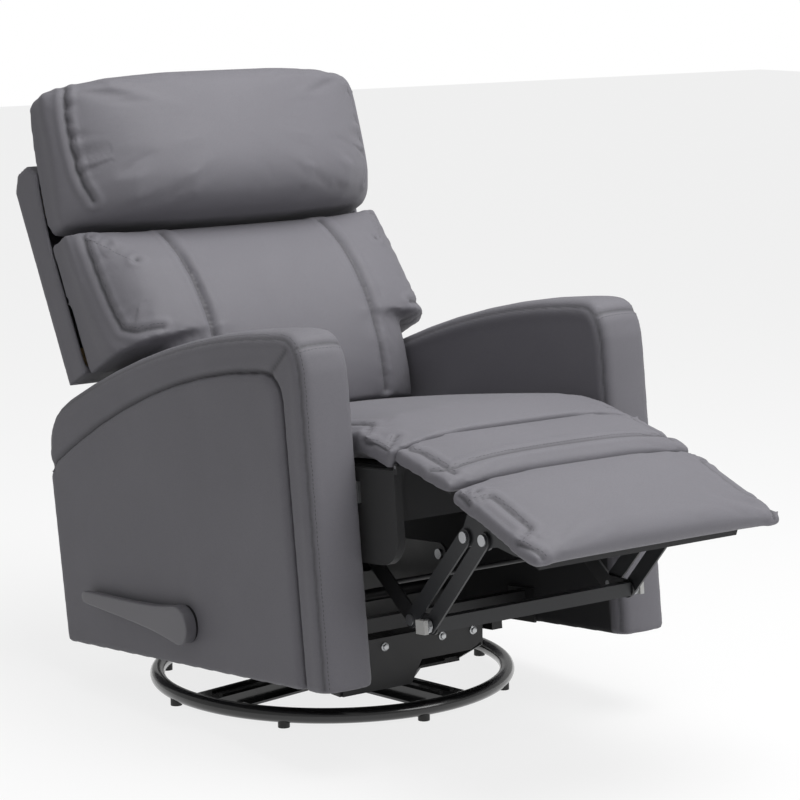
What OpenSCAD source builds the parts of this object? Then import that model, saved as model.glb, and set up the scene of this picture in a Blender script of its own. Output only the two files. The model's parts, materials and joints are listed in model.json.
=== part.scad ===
// Swivel glider recliner, shown with the footrest raised and the back upright.
// Millimetres, +Z up, front towards -Y. The chair is drawn about its swivel axis on the floor
// and then moved so that the origin is the middle of its footprint.

/* [Arms] */
// Clear width between the two arms
arm_gap = 504; // [480:4:560]
// Width of one arm
arm_w = 103; // [90:1:120]
// Front of the arms ahead of the swivel axis
arm_front = 500; // [480:2:520]
// Rear of the arms behind the swivel axis
arm_rear = 334; // [324:2:344]
// Underside of the arms above the floor line of the body
arm_bottom = 90; // [84:1:100]
// Highest line of the arms
arm_top = 650; // [640:1:656]
// How far the arm's top line falls to its rear end
arm_fall = 158; // [150:1:170]
// Thickness of the padded strip round the arm
arm_pad = 24; // [18:1:28]
// Thickness of the inset side panel
side_pad = 8; // [6:1:10]

/* [Posture] */
// Backward lean of the whole body on its glider, degrees
lean = 5.45; // [4:0.05:7]
// Lean of the back against the body, degrees
back_lean = 23; // [22:0.5:24]

/* [Seat] */
// Highest line of the seat cushion's sides
seat_top = 490; // [484:1:494]
// Rise of the seat cushion's middle over its sides
seat_crown = 26; // [16:1:30]
// Height of the seat cushion's sides over the seat box
seat_pad = 60; // [54:1:64]
// Front edge of the seat box ahead of the swivel axis
box_front = 564; // [550:2:576]
// Height of the seat's side boards
board_h = 150; // [146:2:160]
// Length of the padded flap between seat and footrest
flap_len = 143; // [130:1:146]
// Slope of the flap, degrees
flap_slope = 17.5; // [16:0.5:19]

/* [Footrest] */
// Length of the footrest pad
footrest_len = 216; // [200:2:230]
// Thickness of the footrest pad in its middle
footrest_pad_t = 50; // [44:1:54]
// Depth of the frame under the footrest pad
footrest_frame = 28; // [24:1:30]
// Slope of the footrest, degrees
footrest_slope = 25; // [23:0.5:27]
// Width of the footrest links
link_w = 26; // [22:1:30]
// Side of the square drive tube
drive_tube = 22; // [18:1:26]

/* [Back] */
// Half width of the back above the arms
back_half = 336; // [320:2:345]
// Length of the back's cover from hinge line to top
back_len = 545; // [530:1:560]
// Depth of the back's cover
back_depth = 62; // [54:1:70]
// Height of the wings' underside above the hinge, along the back
wing_low = 150; // [148:1:156]
// Forward reach of the lumbar cushion from the hinge line
lumbar_reach = 272; // [255:1:276]
// Top of the lumbar cushion along the back
lumbar_len = 368; // [350:1:376]
// Length of the head pillow along the back
pillow_len = 274; // [260:1:290]
// Forward reach of the head pillow from the hinge line
pillow_reach = 286; // [260:1:300]

/* [Base] */
// Radius of the base ring's centre line
ring_r = 307; // [290:1:330]
// Diameter of the base ring's tube
ring_d = 26; // [24:1:30]
// Height of the foot glides under the ring
foot_h = 8; // [6:1:12]
// Number of foot glides
foot_count = 8; // [6:1:10]
// Width of a cross bar
bar_w = 53; // [44:1:60]
// Radius of the hub disc
hub_r = 74; // [66:1:80]
// Length of a glide link between its pivots
glide_link = 110; // [100:1:116]
// Distance between the front and rear glide pivots
glide_base = 260; // [240:2:270]

/* [Handle] */
// Distance from the handle's hub to its tip
handle_len = 320; // [280:5:330]
// Radius of the handle's hub
handle_hub_r = 33; // [28:1:36]
// Thickness of the handle
handle_t = 22; // [18:1:26]

/* [Hidden] */
$fn = 48;

// Overrun of every cut, and the gaps used throughout
cut = 1;
run_gap = 0.05;
slide_gap = 0.5;
pivot_gap = 0.9;

// Colours
leather = "#6b6a70";
leather_side = "#55545a";
cloth = "#3b3b40";
steel_paint = "#2b2c30";
black_gloss = "#141416";
link_grey = "#5c5f63";
zinc = "#b9bcc0";
wood_tone = "#b08a5a";
cap_white = "#e6e6e2";
strap_dark = "#202022";

// Helpers: extrusion of a side view (Y, Z) along X, rods along X, and left and right pairs
module side_view(x0, x1) {
    translate([x0, 0, 0]) rotate([90, 0, 90]) linear_extrude(x1 - x0) children();
}
module x_rod(x0, x1, r, at) {
    translate([x0, at.x, at.y]) rotate([0, 90, 0]) cylinder(h = x1 - x0, r = r);
}
module pair() {
    children();
    mirror([1, 0, 0]) children();
}
function turn(p, a) = [p.x * cos(a) - p.y * sin(a), p.x * sin(a) + p.y * cos(a)];
function lean_yz(p) = turn(p, -lean);
function mid(a, b, share) = a + share * (b - a);

// Bar with round ends and a hole at each pivot, seen from the side
module link_shape(a, b, w, hole_a, hole_b) {
    run = b - a;
    side = w / 2 * [-run.y, run.x] / norm(run);
    difference() {
        union() {
            translate(a) circle(d = w);
            translate(b) circle(d = w);
            polygon([a + side, b + side, b - side, a - side]);
        }
        translate(a) circle(r = hole_a);
        translate(b) circle(r = hole_b);
    }
}

// Closed skin over rows of points: every row is a ring of the same length
module skin(rows) {
    n = len(rows[0]);
    m = len(rows);
    half = n / 2;
    walls = [for (i = [0:m - 2], j = [0:n - 1], k = [0:1])
        k == 0 ? [i * n + j, i * n + (j + 1) % n, (i + 1) * n + j]
               : [i * n + (j + 1) % n, (i + 1) * n + (j + 1) % n, (i + 1) * n + j]];
    first = [for (j = [0:half - 2], k = [0:1])
        k == 0 ? [j, n - 1 - j, j + 1] : [j + 1, n - 1 - j, n - 2 - j]];
    last = [for (f = first) [f[0], f[2], f[1]] + (m - 1) * n * [1, 1, 1]];
    polyhedron([for (row = rows, p = row) p], concat(walls, first, last));
}

// One ring of a cushion: columns across the top, then back along the underside.
// place(x, h) gives the point, top(x) and low(x) the heights, pull how far the sides draw in.
function pad_ring(columns, place, top, low, pull) =
    let (n = len(columns), edge = columns[n - 1])
    concat(
        [for (x = columns) place(x, top(x))],
        [place(edge - pull, (top(edge) + low(edge)) / 2)],
        [for (i = [n - 1:-1:0]) place(columns[i], low(columns[i]))],
        [place(-edge + pull, (top(edge) + low(edge)) / 2)]);

// Column places across a cushion, closer together at the sides
column_shares = [-1, -0.97, -0.88, -0.68, -0.36, 0, 0.36, 0.68, 0.88, 0.97, 1];
function columns_of(half) = [for (s = column_shares) s * half];
// Fall of a cushion's face towards its sides: 0 in the middle and 1 at the edge
function edge_fall(share, power) = pow(min(1, abs(share)), power);
// The same for an underside that stays flat out to a share of the half width
lip_share = 0.7;
function edge_lip(share) = pow(max(0, (abs(share) - lip_share) / (1 - lip_share)), 2);
// Fall towards both ends of a run: 0 in the middle and 1 at the ends
function end_fall(share, power) = pow(abs(2 * share - 1), power);

// Sizes that follow from the ones above
arm_in = arm_gap / 2;
arm_out = arm_in + arm_w;
core_out = arm_out - side_pad;

// Side view of the arm: the outer line from the front's foot over the nose to the rear
crown_back = 97;
crown_y = -(arm_front - crown_back);
front_rake = 10;
rear_rake = 28;
nose_len = 60;
nose_drop = 92;
nose_power = 2 / 2.5;
fall_power = 1.9;
arm_corner = 76;
rear_pad_drop = 42;
rear_pad_in = 2;
corner_sink = 8;
nose_y = -(arm_front - front_rake);
nose_z = arm_top - nose_drop;
arm_run = arm_rear - crown_y;
function arm_line(y) = arm_top - arm_fall * pow(max(0, (y - crown_y) / arm_run), fall_power);
corner_top_y = arm_rear - arm_corner;
corner_top_z = arm_line(corner_top_y);
front_steps = 3;
nose_step = 15;
top_steps = 8;
arm_front_line = [for (i = [0:front_steps])
    [-arm_front + front_rake * i / front_steps,
     arm_bottom + (nose_z - arm_bottom) * i / front_steps]];
function nose_point(a) = [nose_y + nose_len * (1 - pow(cos(a), nose_power)),
                          nose_z + nose_drop * pow(sin(a), nose_power)];
seam_angle = 45;
nose_lower = [for (a = [nose_step:nose_step:seam_angle]) nose_point(a)];
nose_upper = [for (a = [seam_angle:nose_step:90]) nose_point(a)];
arm_top_line = [for (i = [0:top_steps])
    let (y = mid(crown_y, corner_top_y, i / top_steps)) [y, arm_line(y)]];
arm_corner_line = concat(
    [for (a = [66:-22:0])
        [corner_top_y + arm_corner * cos(a), corner_top_z - corner_sink - arm_corner * (1 - sin(a))]],
    [[arm_rear - rear_pad_in, corner_top_z - corner_sink - arm_corner - rear_pad_drop]]);
front_line = concat(arm_front_line, nose_lower);
arm_line_all = concat(arm_front_line, nose_lower,
    [for (i = [1:len(nose_upper) - 1]) nose_upper[i]], arm_top_line, arm_corner_line);

// Unit vector pointing out of the line at point i
function out_of(line, i) =
    let (a = line[max(0, i - 1)], b = line[min(len(line) - 1, i + 1)], d = (b - a) / norm(b - a))
    [-d.y, d.x];
function arm_inner(i) = arm_line_all[i] - arm_pad * out_of(arm_line_all, i);
seam_index = len(front_line) - 1;
inner_line = [for (i = [0:len(arm_line_all) - 1])
    i == 0 ? [arm_inner(0).x, arm_bottom] : arm_inner(i)];

// Inset side panel of the arm
panel_front = 428;
panel_front_rake = 12;
panel_top = 587;
panel_crown = 370;
panel_fall = 186;
panel_rear_in = 9;
panel_corner = 44;
panel_power = 1.9;
panel_rear = arm_rear - panel_rear_in;
panel_play = 2;
panel_steps = 8;
// The panel stops in front of the arm's rear padding and runs on below its end
panel_notch = [arm_rear - rear_pad_in - arm_pad - panel_play,
               corner_top_z - corner_sink - arm_corner - rear_pad_drop - panel_play];
panel_line = concat(
    [[-panel_front - panel_front_rake, arm_bottom]],
    [for (a = [0:30:90])
        [-panel_front + panel_corner * (1 - cos(a)), panel_top - panel_corner * (1 - sin(a))]],
    [for (i = [1:panel_steps])
        let (y = mid(-panel_crown, panel_notch.x, i / panel_steps))
        [y, panel_top - panel_fall * pow((y + panel_crown) / (panel_rear + panel_crown), panel_power)]],
    [panel_notch, [panel_rear, panel_notch.y], [arm_rear - rear_rake, arm_bottom]]);
panel_middle = [mid(-panel_front, panel_rear, 0.45), mid(arm_bottom, panel_top, 0.42)];
panel_edge_share = 0.97;
panel_edge_t = 3;

// Seat box, rails and cushion
rail_t = 5.5;
rail_h = 34;
rail_z = 392;
board_t = 14;
board_out = arm_in - 2 * rail_t - slide_gap;
board_in = board_out - board_t;
board_top = seat_top - seat_pad;
board_low = board_top - board_h;
board_rear = 20;
board_corner = 46;
front_board_back = 30;
front_board_h = 84;
rear_board_h = 110;
seat_side_gap = 3;
seat_half = arm_in - seat_side_gap;
seat_rear = 2;

// Flap and footrest in the side view. The flap turns about the front top edge of the box.
flap_t = 50;
flap_board_t = 5;
hinge_out = 4;
hinge_up = 6;
flap_hinge = [-box_front - hinge_out, board_top + hinge_up];
function along(slope) = [-cos(slope), -sin(slope)];
function above(slope) = [-sin(slope), cos(slope)];
pad_in = 2;
footrest_half = seat_half - pad_in;

// Footrest linkage in the side view: the crank hangs from the seat box and carries the feet of
// both links, whose heads carry the footrest bracket
crank_pivot = [-414, 294];
rear_foot = [-534, 190.5];
front_foot = [-583, 186];
link_rise = [-152, 141.5];
rear_head = rear_foot + link_rise;
front_rise = [-149.6, 144.5];
front_head = front_foot + front_rise;
// Rear edge of the footrest frame's underside, from the head of the rear link
frame_over_head = [-10.6, 35.4];
footrest_root = rear_head + frame_over_head;
pin_r = 5;
crank_w = 30;
plate_t = 4;
crank_in = 30.5;
crank_x = board_in - crank_in;
link_gap = 0.6;
spring_room = 10;
link_x = crank_x + plate_t + link_gap;
spring_x = link_x + plate_t + link_gap;
cap_x = spring_x + spring_room;
cap_t = 8;

// Back, drawn in its own frame: s runs up the back, n forward from the hinge line
hinge_at = [228, 398];
cover_rear = 24;
cover_front = cover_rear + back_depth;
cover_flare = 20;
cover_top_front = cover_front + cover_flare;
cover_bend = 400;
cover_wall = 10;
cover_corner = 26;
cover_bevel = 22;
hinge_gap = 1.5;
stem_half = board_in + hinge_gap;
stem_low = 45;
function up_back(s, n) = hinge_at + turn([0, s], -back_lean) + turn([-n, 0], -back_lean);

// Base and glider heights
ring_z = foot_h + ring_d / 2;
bar_h = 18;
bar_z = ring_z - bar_h / 2;
hub_rise = 16;
hub_top = ring_z + hub_rise;
bearing_h = 8;
bearing_gap = 0.2;
plate_z = hub_top + bearing_h + bearing_gap;
swivel_plate_t = 5;
plate_top = plate_z + swivel_plate_t;
glider_x = 146;
glider_t = 4;
glide_link_t = 5;
glide_link_w = 28;
glide_gap = 2;
glide_link_x = glider_x + glider_t + glide_gap;
rail_gap = 3;
rail_in = glide_link_x + glide_link_t + rail_gap;
rail_w = 22;
chassis_z = 90;
chassis_h = 30;
lower_front = [-glide_base / 2, chassis_z + chassis_h / 2];
lower_rear = [glide_base / 2, chassis_z + chassis_h / 2];
lower_front_w = lean_yz(lower_front);
lower_rear_w = lean_yz(lower_rear);
upper_front_w = lower_front_w + [0, glide_link];
upper_rear_w = lower_rear_w + [0, glide_link];

// Handle
handle_out = 4;
handle_at = [-115, 165];
handle_rise = 20;
handle_x = arm_out + handle_out;
handle_side = handle_x + handle_t - arm_out;

// The origin is the middle of the whole footprint
tip_yz = lean_yz(footrest_root + footrest_len * along(footrest_slope)
    + (footrest_frame + footrest_pad_t / 2) * above(footrest_slope));
top_yz = lean_yz(up_back(back_len - cover_corner, cover_rear));
row_x = handle_side / 2;
row_y = -(tip_yz.x + top_yz.x) / 2;
module stand() { translate([row_x, row_y, 0]) children(); }
module body() { stand() rotate([-lean, 0, 0]) children(); }

// Base
module ring_tube(grow) {
    translate([0, 0, ring_z])
        rotate_extrude($fn = 96) translate([ring_r, 0]) circle(d = ring_d + grow);
}
module base_ring() {
    color(black_gloss) stand() ring_tube(0);
}
foot_r = 10;
foot_turn = 40;
module foot_glides() {
    color(black_gloss) stand()
        for (i = [0:foot_count - 1])
            rotate(foot_turn + i * 360 / foot_count) difference() {
                translate([ring_r, 0, 0]) cylinder(h = foot_h + ring_d / 4, r = foot_r);
                ring_tube(0);
            }
}
bar_turn = 9.5;
bar_wall = 3;
rib_w = 9;
rib_h = 3;
rib_end = 30;
module base_cross_bars() {
    color(black_gloss) stand()
        for (i = [0:3]) rotate(bar_turn + i * 90) difference() {
            union() {
                translate([hub_r - cut, -bar_w / 2, bar_z])
                    cube([ring_r - hub_r, bar_w, bar_h]);
                for (side = [-1, 1])
                    translate([hub_r - cut, side * bar_w / 4 - rib_w / 2, bar_z + bar_h])
                        cube([ring_r - hub_r - rib_end, rib_w, rib_h]);
            }
            translate([0, -bar_w / 2 + bar_wall, bar_z - cut])
                cube([ring_r, bar_w - 2 * bar_wall, bar_h - bar_wall + cut]);
            cylinder(h = 2 * hub_top, r = hub_r, center = true);
            ring_tube(0);
        }
}
lobe_w = 88;
lobe_r = 236;
lobe_t = 4;
hub_low = bar_z - lobe_t;
spindle_r = 12;
hub_flange = 5;
module base_hub() {
    color(black_gloss) stand() {
        translate([0, 0, bar_z]) linear_extrude(hub_top - bar_z) difference() {
            circle(r = hub_r);
            circle(r = spindle_r + run_gap);
        }
        translate([0, 0, hub_low]) linear_extrude(lobe_t) difference() {
            union() {
                circle(r = hub_r + hub_flange);
                for (i = [0:1]) rotate(bar_turn + i * 90)
                    square([2 * lobe_r, lobe_w], center = true);
            }
            circle(r = spindle_r + run_gap);
        }
    }
}
bearing_r = 62;
bearing_hole = 30;
module swivel_bearing() {
    color(zinc) stand() translate([0, 0, hub_top]) difference() {
        cylinder(h = bearing_h, r = bearing_r);
        translate([0, 0, -cut]) cylinder(h = bearing_h + 2 * cut, r = bearing_hole);
    }
}

// Swivelling glider base
glider_front = 238;
glider_rear = 188;
plate_half = glider_x + glider_t;
plate_step = 172;
plate_slant = 66;
tongue_in = 5;
module swivel_plate() {
    color(steel_paint) stand() difference() {
        translate([0, 0, plate_z]) linear_extrude(swivel_plate_t) polygon([
            [-plate_half, -glider_front], [-tongue_in, -glider_front],
            [plate_slant, -plate_step], [plate_half, -plate_step],
            [plate_half, glider_rear], [-plate_half, glider_rear]]);
        translate([0, 0, plate_z - cut])
            cylinder(h = swivel_plate_t + 2 * cut, r = spindle_r + run_gap);
    }
}
spindle_head_r = 20;
spindle_head_h = 9;
nut_r = 17;
nut_h = 5;
module swivel_spindle() {
    color(zinc) stand() {
        translate([0, 0, hub_low]) cylinder(h = plate_top - hub_low, r = spindle_r);
        translate([0, 0, plate_top]) cylinder(h = spindle_head_h, r = spindle_head_r);
        translate([0, 0, hub_low - nut_h]) cylinder(h = nut_h - slide_gap, r = nut_r);
        translate([0, 0, hub_low - nut_h]) cylinder(h = nut_h + cut, r = spindle_r);
    }
}
glider_foot = 28;
glider_foot_t = 4;
glider_tube_r = 11;
front_plate_low = 84;
front_plate_top = 134;
step_y = 172;
front_cut_share = 0.45;
crest = 20;
tube_front = [-96, 168];
tube_rear = [96, 168];
// Side plate of the glider; its lower front corner is cut back to the point given
module glider_side(low_front) {
    side_view(glider_x, glider_x + glider_t) difference() {
        union() {
            polygon([
                [-low_front, plate_top], [glider_rear, plate_top],
                [upper_rear_w.x + crest, upper_rear_w.y],
                [upper_rear_w.x, upper_rear_w.y + crest],
                [upper_front_w.x, upper_front_w.y + crest],
                [upper_front_w.x - crest, upper_front_w.y],
                [-step_y, front_plate_top], [-glider_front, front_plate_top],
                [-glider_front, mid(plate_top, front_plate_top, front_cut_share)]]);
            translate(upper_rear_w) circle(r = crest);
            translate(upper_front_w) circle(r = crest);
        }
        translate(upper_rear_w) circle(r = pin_r + run_gap);
        translate(upper_front_w) circle(r = pin_r + run_gap);
        translate(tube_front) circle(r = glider_tube_r + run_gap);
        translate(tube_rear) circle(r = glider_tube_r + run_gap);
    }
    translate([glider_x - glider_foot, -low_front, plate_top])
        cube([glider_foot, low_front + glider_rear, glider_foot_t]);
}
module glider_side_right() { color(steel_paint) stand() glider_side(plate_step); }
module glider_side_left() {
    color(steel_paint) stand() mirror([1, 0, 0]) glider_side(glider_front);
}
plate_chamfer = 24;
tongue_out = 17;
module glider_front_plate() {
    inner = glider_x;
    color(steel_paint) stand() translate([0, -glider_front, 0]) rotate([90, 0, 0])
        linear_extrude(glider_t) polygon([
            [-inner, plate_z], [-tongue_in, plate_z], [tongue_out, front_plate_low],
            [inner - plate_chamfer, front_plate_low],
            [inner, front_plate_low + plate_chamfer / 2], [inner, front_plate_top],
            [-inner, front_plate_top]]);
    color(steel_paint) stand() pair()
        translate([inner - glider_foot, -glider_front, front_plate_low + plate_chamfer])
            cube([glider_foot, glider_t, front_plate_top - front_plate_low - plate_chamfer]);
}
module glider_cross_tubes() {
    color(steel_paint) stand() {
        x_rod(-glider_x - glider_t, glider_x + glider_t, glider_tube_r, tube_front);
        x_rod(-glider_x - glider_t, glider_x + glider_t, glider_tube_r, tube_rear);
    }
}
head_r = 9;
head_t = 3;
module pin_with_head(x0, x1, r, at) {
    x_rod(x0, x1, r, at);
    x_rod(x1, x1 + head_t, head_r, at);
}
pin_cap_t = 2;
module glider_pins() {
    color(zinc) stand() pair()
        for (at = [upper_front_w, upper_rear_w]) {
            x_rod(glider_x - head_t, glider_x, head_r, at);
            x_rod(glider_x, glide_link_x + glide_link_t + slide_gap, pin_r, at);
            x_rod(glide_link_x + glide_link_t + slide_gap,
                glide_link_x + glide_link_t + slide_gap + pin_cap_t, head_r, at);
        }
}

// Glide links
module glide_pair(a, b) {
    color(link_grey) stand() pair()
        side_view(glide_link_x, glide_link_x + glide_link_t)
            link_shape(a, b, glide_link_w, pin_r + run_gap, pin_r + run_gap);
}
module front_glide_links() { glide_pair(lower_front_w, upper_front_w); }
module rear_glide_links() { glide_pair(lower_rear_w, upper_rear_w); }

// Chassis that joins the arms
chassis_front = 262;
chassis_rear = 290;
cross_w = 24;
cross_h = 24;
cross_front_y = -246;
cross_rear_y = 236;
end_plate_t = 4;
end_plate_w = 70;
end_plate_h = 60;
module chassis_rails() {
    color(steel_paint) body() pair() difference() {
        translate([rail_in, -chassis_front, chassis_z])
            cube([rail_w, chassis_front + chassis_rear, chassis_h]);
        for (at = [lower_front, lower_rear])
            x_rod(rail_in - cut, rail_in + rail_w + cut, pin_r + run_gap, at);
    }
}
module chassis_cross_tubes() {
    color(steel_paint) body()
        for (y = [cross_front_y, cross_rear_y])
            translate([-arm_in + end_plate_t, y, chassis_z + chassis_h])
                cube([2 * (arm_in - end_plate_t), cross_w, cross_h]);
}
module chassis_end_plates() {
    color(steel_paint) body() pair()
        for (y = [cross_front_y, cross_rear_y])
            translate([arm_in - end_plate_t, y + (cross_w - end_plate_w) / 2, chassis_z])
                cube([end_plate_t, end_plate_w, end_plate_h]);
}
module chassis_pins() {
    color(zinc) body() pair()
        for (at = [lower_front, lower_rear]) {
            x_rod(glide_link_x - slide_gap, rail_in + rail_w, pin_r, at);
            x_rod(rail_in + rail_w, rail_in + rail_w + head_t, head_r, at);
        }
}
fixed_rail_front = 470;
fixed_rail_rear = 200;
module fixed_slide_rails() {
    color(zinc) body() pair()
        translate([arm_in - rail_t, -fixed_rail_front, rail_z - rail_h / 2])
            cube([rail_t, fixed_rail_front + fixed_rail_rear, rail_h]);
}

// Arms
module arm_core() {
    last = len(inner_line) - 1;
    difference() {
        side_view(arm_in, core_out) polygon(concat(inner_line,
            [arm_line_all[last], [arm_rear - rear_rake, arm_bottom]]));
        children();
    }
}
strip_round = 13;
strip_crown = 4;
strip_in = 4;
// Padded strip that wraps the arm along part of its outer line
module arm_strip(first, last) {
    mid_x = (arm_in + arm_out - strip_in) / 2;
    half = (arm_out - strip_in - arm_in) / 2;
    rows = [for (i = [last:-1:first])
        let (p = arm_line_all[i], q = inner_line[i], d = (p - q) / norm(p - q), t = norm(p - q))
        pad_ring(columns_of(half),
            function(x, h) [mid_x + x, q.x + d.x * h, q.y + d.y * h],
            function(x) t - strip_round * edge_fall(x / half, 6)
                + strip_crown * (1 - edge_fall(x / half, 2)),
            function(x) 0, 0)];
    skin(rows);
}
module arm_front_strip() { arm_strip(0, seam_index); }
module arm_top_strip() { arm_strip(seam_index, len(arm_line_all) - 1); }
// Inset side panel: rings of its outline drawn in towards the middle, flat on the face
module arm_panel() {
    n = len(panel_line);
    function ring(share, x) = [for (p = panel_line)
        let (q = panel_middle + share * (p - panel_middle)) [x, q.x, q.y]];
    rows = [ring(1, core_out), ring(1, core_out + panel_edge_t),
            ring(panel_edge_share, arm_out)];
    walls = [for (i = [0:1], j = [0:n - 1], k = [0:1])
        k == 0 ? [i * n + j, i * n + (j + 1) % n, (i + 1) * n + j]
               : [i * n + (j + 1) % n, (i + 1) * n + (j + 1) % n, (i + 1) * n + j]];
    caps = [for (j = [0:n - 1], k = [0:1])
        k == 0 ? [j, 3 * n, (j + 1) % n] : [2 * n + j, 2 * n + (j + 1) % n, 3 * n + 1]];
    points = concat(rows[0], rows[1], rows[2],
        [[core_out, panel_middle.x, panel_middle.y], [arm_out, panel_middle.x, panel_middle.y]]);
    polyhedron(points, concat(walls, caps));
}
shaft_r = 8;
shaft_deep = 60;
panel_hole = 12;
module handle_bore(r) {
    x_rod(core_out - shaft_deep, handle_x + cut, r, handle_at);
}
module arm_right_core() { color(leather_side) body() arm_core(); }
module arm_left_core() {
    color(leather_side) body() mirror([1, 0, 0]) arm_core() handle_bore(shaft_r + run_gap);
}
module arm_right_side_panel() { color(leather_side) body() arm_panel(); }
module arm_left_side_panel() {
    color(leather_side) body() mirror([1, 0, 0]) difference() {
        arm_panel();
        handle_bore(panel_hole);
    }
}
// Small plain tag hanging over the left arm's side
tag_w = 62;
tag_h = 28;
tag_t = 1;
tag_at = [6, 543];
tag_turn = 14.4;
module arm_tag() {
    color(black_gloss) body() mirror([1, 0, 0])
        side_view(core_out, core_out + tag_t)
            translate(tag_at) rotate(-tag_turn) square([tag_w, tag_h]);
}
module arm_right_front_pad() { color(leather) body() arm_front_strip(); }
module arm_left_front_pad() { color(leather) body() mirror([1, 0, 0]) arm_front_strip(); }
module arm_right_top_pad() { color(leather) body() arm_top_strip(); }
module arm_left_top_pad() { color(leather) body() mirror([1, 0, 0]) arm_top_strip(); }

// Handle on the left arm
escutcheon_in = 2;
module handle_escutcheon() {
    color(steel_paint) body() mirror([1, 0, 0]) difference() {
        x_rod(arm_out, arm_out + handle_out - slide_gap, handle_hub_r - escutcheon_in, handle_at);
        x_rod(arm_out - cut, arm_out + handle_out + cut, shaft_r + run_gap, handle_at);
    }
}
tip_r = 11;
root_r = 24;
shaft_square_share = 0.7;
lever_wall = 4;
module handle_lever() {
    tip = handle_at + [handle_len, handle_rise];
    run = (tip - handle_at) / norm(tip - handle_at);
    side = [-run.y, run.x];
    color(leather) body() mirror([1, 0, 0]) side_view(handle_x, handle_x + handle_t)
        difference() {
            union() {
                translate(handle_at) circle(r = handle_hub_r);
                translate(tip) circle(r = tip_r);
                polygon([handle_at + root_r * side, tip + tip_r * side,
                         tip - tip_r * side, handle_at - root_r * side]);
            }
            translate(handle_at) square(2 * shaft_r * shaft_square_share, center = true);
        }
}
module handle_shaft() {
    color(zinc) body() mirror([1, 0, 0]) {
        x_rod(core_out - shaft_deep, handle_x, shaft_r, handle_at);
        side_view(handle_x, handle_x + handle_t - lever_wall)
            translate(handle_at) square(2 * shaft_r * shaft_square_share, center = true);
    }
}

// Seat box
rod_r = 2.5;
ear_r = 5;
module seat_side_boards() {
    color(cloth) body() pair() side_view(board_in, board_out) {
        polygon([
            [-box_front, board_top], [-box_front, board_low + board_corner],
            [-box_front + board_corner, board_low], [board_rear, board_low],
            [board_rear, board_top]]);
        intersection() {
            translate([-box_front + board_corner, board_low + board_corner])
                circle(r = board_corner);
            translate([-box_front, board_low]) square(board_corner);
        }
        difference() {
            union() {
                translate(flap_hinge) circle(r = ear_r);
                translate([flap_hinge.x - ear_r, flap_hinge.y - 2 * ear_r - cut])
                    square([2 * ear_r, 2 * ear_r + cut]);
            }
            translate(flap_hinge) circle(r = rod_r);
        }
    }
}
module flap_hinge_rod() {
    color(zinc) body() x_rod(-board_out, board_out, rod_r, flap_hinge);
}
module seat_front_board() {
    color(cloth) body()
        translate([-board_in, -box_front + front_board_back, board_top - front_board_h])
            cube([2 * board_in, board_t, front_board_h]);
}
module seat_rear_board() {
    color(cloth) body()
        translate([plate_t - board_in, board_rear - board_t, board_top - rear_board_h])
            cube([2 * (board_in - plate_t), board_t, rear_board_h]);
}
strap_w = 50;
strap_t = 2;
strap_count = 5;
module seat_webbing() {
    first = -box_front + front_board_back;
    pitch = 2 * (board_in - strap_w) / (strap_count - 1);
    color(strap_dark) body()
        for (i = [0:strap_count - 1])
            translate([-board_in + strap_w / 2 + i * pitch, first, board_top])
                cube([strap_w, board_rear - first, strap_t]);
}
module moving_slide_rails() {
    color(zinc) body() pair()
        translate([board_out, -box_front + 2 * board_corner, rail_z - rail_h / 2])
            cube([rail_t, box_front - 2 * board_corner + board_rear, rail_h]);
}
// Crowned seat cushion: rings from the rear to the front
seat_row_shares = [0, 0.02, 0.07, 0.2, 0.4, 0.62, 0.8, 0.847, 0.9, 0.95, 1];
bend_share = 0.847;
seat_rear_drop = 28;
seat_nose_drop = 27;
seat_tuck = 30;
seat_front_in = 3.2;
seat_rear_round = 16;
seat_round_share = 0.07;
// How far a cushion draws in at its middle, and how far its side face draws in
waist = 4;
side_pull = 3;
// Height of the cushion's sides: rising from the rear to the bend, then falling with the flap
function seat_side(v) = seat_top - (v < bend_share
    ? seat_rear_drop * (1 - v / bend_share)
    : seat_nose_drop * (v - bend_share) / (1 - bend_share));
seat_under = board_top + strap_t;
// Rise of the underside at the sides, where the cover is drawn up to a band of even height
function seat_low(v) = v < bend_share
    ? max(0, seat_tuck - (seat_top - seat_side(v))) : seat_tuck * (1 - v) / (1 - bend_share);
module seat_cushion() {
    front = -box_front + seat_front_in;
    rows = [for (v = seat_row_shares)
        let (y = mid(seat_rear, front, v),
             skew = tan(flap_slope) * pow(v, 8),
             round_rear = seat_rear_round * pow(max(0, 1 - v / seat_round_share), 2),
             half = seat_half - waist * (1 - end_fall(v, 2)))
        pad_ring(columns_of(half),
            function(x, h) [x, y - skew * (h - seat_under), h],
            function(x) seat_side(v) - round_rear + seat_crown * (1 - edge_fall(x / half, 4)),
            function(x) seat_under + seat_low(v) * edge_lip(x / half), side_pull)];
    color(leather) body() skin(rows);
}
hinge_plate_w = 36;
hinge_plate_front = 60;
hinge_plate_low = 60;
module seat_hinge_plates() {
    color(steel_paint) body() pair() {
        side_view(board_in - plate_t, board_in) difference() {
            union() {
                translate([-hinge_plate_front, board_top - hinge_plate_low])
                    square([hinge_plate_front + hinge_at.x, hinge_plate_w]);
                translate(hinge_at) circle(d = hinge_plate_w);
            }
            translate(hinge_at) circle(r = pin_r + run_gap);
        }
    }
}
module seat_pivot_pins() {
    // Bosses on the side boards that the cranks hang from
    color(zinc) body() pair() {
        x_rod(crank_x + plate_t + pivot_gap, board_in, head_r, crank_pivot);
        x_rod(crank_x - slide_gap, crank_x + plate_t + pivot_gap, pin_r, crank_pivot);
        x_rod(crank_x - slide_gap - head_t, crank_x - slide_gap, head_r, crank_pivot);
    }
}

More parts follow.
